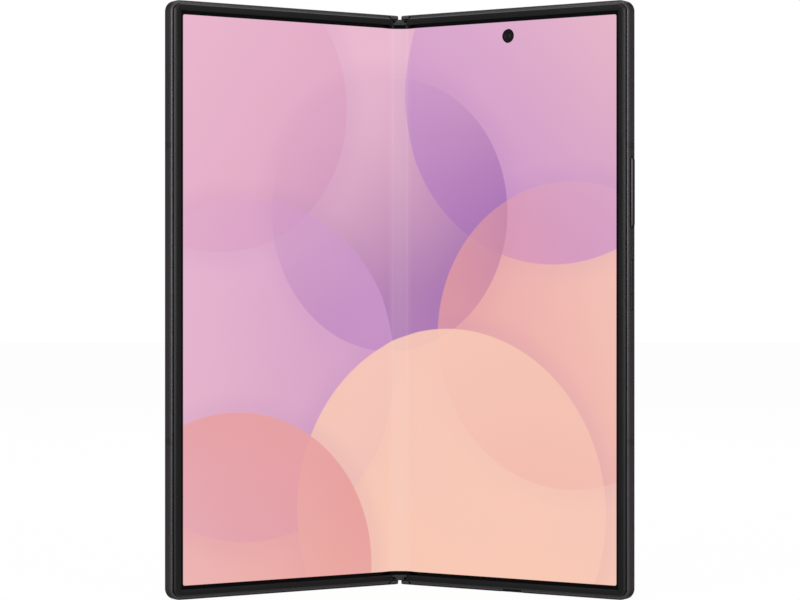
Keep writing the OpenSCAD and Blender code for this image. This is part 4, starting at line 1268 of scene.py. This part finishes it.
class PHONE_OT_finishes(bpy.types.Operator):
    """Give the frames and all inner parts their finishes"""

    bl_idname = "phone.finishes"
    bl_label = "Frames and inner parts"

    def execute(self, context):
        body = context.scene.phone_body
        coil = half_matrix(RIGHT) @ Vector((39 * MM, 3.43 * MM, 66 * MM))
        finishes = {
            "frame_graphite": frame_metal("frame_metal", body.frame_colour),
            "strap_plastic": frame_metal("strap_plastic",
                                         tuple(c * STRAP_SHADE for c in body.frame_colour)),
            # painted shade: the hinge's steel is darkened to the shade of the recess at its ends
            "hinge_steel": grained("hinge_steel", srgb(50, 50, 54), srgb(70, 70, 75),
                                   (0.4, 0.52), 1.0, 0.5, 1800, 0.004),
            "plate_steel": brushed_metal("plate_steel", srgb(128, 128, 132),
                                         srgb(172, 172, 176)),
            "gear_steel": brushed_metal("gear_steel", srgb(36, 36, 39), srgb(54, 54, 58),
                                        (0.36, 0.48), (60, 60, 900)),
            "bronze": brushed_metal("bronze", srgb(146, 104, 58), srgb(188, 142, 86),
                                    (0.28, 0.4), (500, 500, 500)),
            "flex_film": flex_film("flex_film"),
            "camera_black": grained("camera_black", srgb(16, 16, 18), srgb(30, 30, 32),
                                    (0.4, 0.55), 0, 0.4, 1600, 0.004),
            "board_green": board_mask("board_green"),
            "cell_wrap": grained("cell_wrap", srgb(34, 35, 38), srgb(56, 57, 60), (0.42, 0.6),
                                 0.3, 0.4, 240, 0.03),
            "coil_copper": copper_winding("coil_copper", coil),
            "module_plastic": grained("module_plastic", srgb(26, 26, 28), srgb(42, 42, 44),
                                      (0.45, 0.6), 0, 0.4, 1500, 0.006),
            "panel_dark": grained("panel_dark", srgb(12, 13, 20), srgb(18, 19, 28),
                                  (0.2, 0.3), 0, 0.5, 400, 0.002),
            "magnet_nickel": brushed_metal("magnet_nickel", srgb(150, 148, 144),
                                           srgb(186, 184, 178), (0.16, 0.26), (90, 90, 90)),
        }
        for part in frame["record"]["subparts"]:
            finish = finishes.get(part["material_slot"])
            if finish is None:
                continue
            mesh = NODES[part["node"]].data
            mesh.materials.clear()
            mesh.materials.append(finish)
        return {"FINISHED"}


# ---------- stage ----------


class PHONE_OT_stage(bpy.types.Operator):
    """Set up floor, white surroundings, soft lamps and the camera"""

    bl_idname = "phone.stage"
    bl_label = "Stage"

    def execute(self, context):
        stage = context.scene.phone_stage
        scene = context.scene
        scene.view_settings.view_transform = "Standard"
        clear_selection()
        bpy.ops.mesh.primitive_plane_add(size=stage.floor_size, location=(0, 0, -FLOOR_DROP))
        floor = start_piece("floor")
        g = Graph("floor_paper", roughness=0.9, specular=0.1)
        g.colour(g.mix(g.noise(30), (0.80, 0.80, 0.80, 1), (0.83, 0.83, 0.83, 1)))
        white = g.node("ShaderNodeEmission")
        white.inputs[0].default_value = (1, 1, 1, 1)
        path = g.node("ShaderNodeLightPath")
        seen = g.math("MAXIMUM", path.outputs["Is Camera Ray"], path.outputs["Is Glossy Ray"])
        seen = g.math("MAXIMUM", seen, path.outputs["Is Transmission Ray"])
        blend = g.node("ShaderNodeMixShader")
        g.link(g.math("MULTIPLY", seen, FLOOR_SHINE), blend.inputs[0])
        g.link(g.shader.outputs[0], blend.inputs[1])
        g.link(white.outputs[0], blend.inputs[2])
        g.link(blend.outputs[0], g.tree.nodes["Material Output"].inputs["Surface"])
        floor.data.materials.append(g.material)

        world = scene.world or bpy.data.worlds.new("surroundings")
        scene.world = world
        world.use_nodes = True
        tree = world.node_tree
        tree.nodes.clear()
        out = tree.nodes.new("ShaderNodeOutputWorld")
        both = tree.nodes.new("ShaderNodeMixShader")
        plain = tree.nodes.new("ShaderNodeBackground")
        bright = tree.nodes.new("ShaderNodeBackground")
        plain.inputs["Color"].default_value = (0.93, 0.95, 1.0, 1)
        plain.inputs["Strength"].default_value = PLAIN_LEVEL
        bright.inputs["Color"].default_value = (1, 1, 1, 1)
        bright.inputs["Strength"].default_value = 1.0
        path = tree.nodes.new("ShaderNodeLightPath")
        one = tree.nodes.new("ShaderNodeMath")
        one.operation = "MAXIMUM"
        two = tree.nodes.new("ShaderNodeMath")
        two.operation = "MAXIMUM"
        tree.links.new(path.outputs["Is Camera Ray"], one.inputs[0])
        tree.links.new(path.outputs["Is Glossy Ray"], one.inputs[1])
        tree.links.new(one.outputs[0], two.inputs[0])
        tree.links.new(path.outputs["Is Transmission Ray"], two.inputs[1])
        tree.links.new(two.outputs[0], both.inputs[0])
        tree.links.new(plain.outputs[0], both.inputs[1])
        tree.links.new(bright.outputs[0], both.inputs[2])
        tree.links.new(both.outputs[0], out.inputs["Surface"])

        target = Vector((0, 0, BODY_H / 2))
        for name, azimuth, rise, away, wide, tall, share in (
            ("lamp_left", -38, 15, 0.95, 0.4, 0.62, 1.0),
            ("lamp_right", 38, 15, 0.95, 0.4, 0.62, 0.8),
            ("lamp_top", 180, 72, 1.0, 1.2, 0.6, 0.85),
            ("lamp_back", 180, 35, 1.1, 0.7, 0.7, 0.44),
        ):
            turn, lift = math.radians(azimuth), math.radians(rise)
            way = Vector((math.sin(turn) * math.cos(lift), -math.cos(turn) * math.cos(lift),
                          math.sin(lift)))
            bpy.ops.object.light_add(type="AREA", location=target + way * away)
            lamp = bpy.context.active_object
            lamp.name = name
            lamp.data.shape = "RECTANGLE"
            lamp.data.size, lamp.data.size_y = wide, tall
            lamp.data.energy = stage.lamp_power * share
            lamp.rotation_euler = (-way).to_track_quat("-Z", "Y").to_euler()

        bpy.ops.object.camera_add(
            location=(CAMERA_X, SHIFT_Y - stage.distance, BODY_H / 2),
            rotation=(math.pi / 2, 0, 0)
        )
        camera = bpy.context.active_object
        camera.name = "camera"
        camera.data.lens = stage.lens
        camera.data.sensor_width = 36
        camera.data.clip_start = 0.01
        scene.camera = camera
        return {"FINISHED"}


class PHONE_PT_panel(bpy.types.Panel):
    """The phone's pieces and stage, in the order in which they are made"""

    bl_idname = "PHONE_PT_panel"
    bl_label = "Folding phone"
    bl_space_type = "VIEW_3D"
    bl_region_type = "UI"
    bl_category = "Phone"

    def draw(self, context):
        for group in (context.scene.phone_body, context.scene.phone_screen,
                      context.scene.phone_stage):
            box = self.layout.box()
            for key in group.__annotations__:
                box.prop(group, key)
        for operator in OPERATORS:
            self.layout.operator(operator.bl_idname)


OPERATORS = (PHONE_OT_inner_screen, PHONE_OT_rims, PHONE_OT_keys, PHONE_OT_spine,
             PHONE_OT_outer_glass, PHONE_OT_cameras, PHONE_OT_openings, PHONE_OT_finishes,
             PHONE_OT_stage)
GROUPS = (
    ("phone_body", PhoneBodySettings),
    ("phone_screen", PhoneScreenSettings),
    ("phone_stage", PhoneStageSettings),
)


def register():
    for name, group in GROUPS:
        bpy.utils.register_class(group)
        setattr(bpy.types.Scene, name, PointerProperty(type=group))
    for c in OPERATORS + (PHONE_PT_panel,):
        bpy.utils.register_class(c)


def unregister():
    for c in reversed(OPERATORS + (PHONE_PT_panel,)):
        bpy.utils.unregister_class(c)
    for name, group in reversed(GROUPS):
        delattr(bpy.types.Scene, name)
        bpy.utils.unregister_class(group)


def main():
    register()
    for operator in OPERATORS:
        area, name = operator.bl_idname.split(".")
        getattr(getattr(bpy.ops, area), name)()


if __name__ == "__main__":
    main()
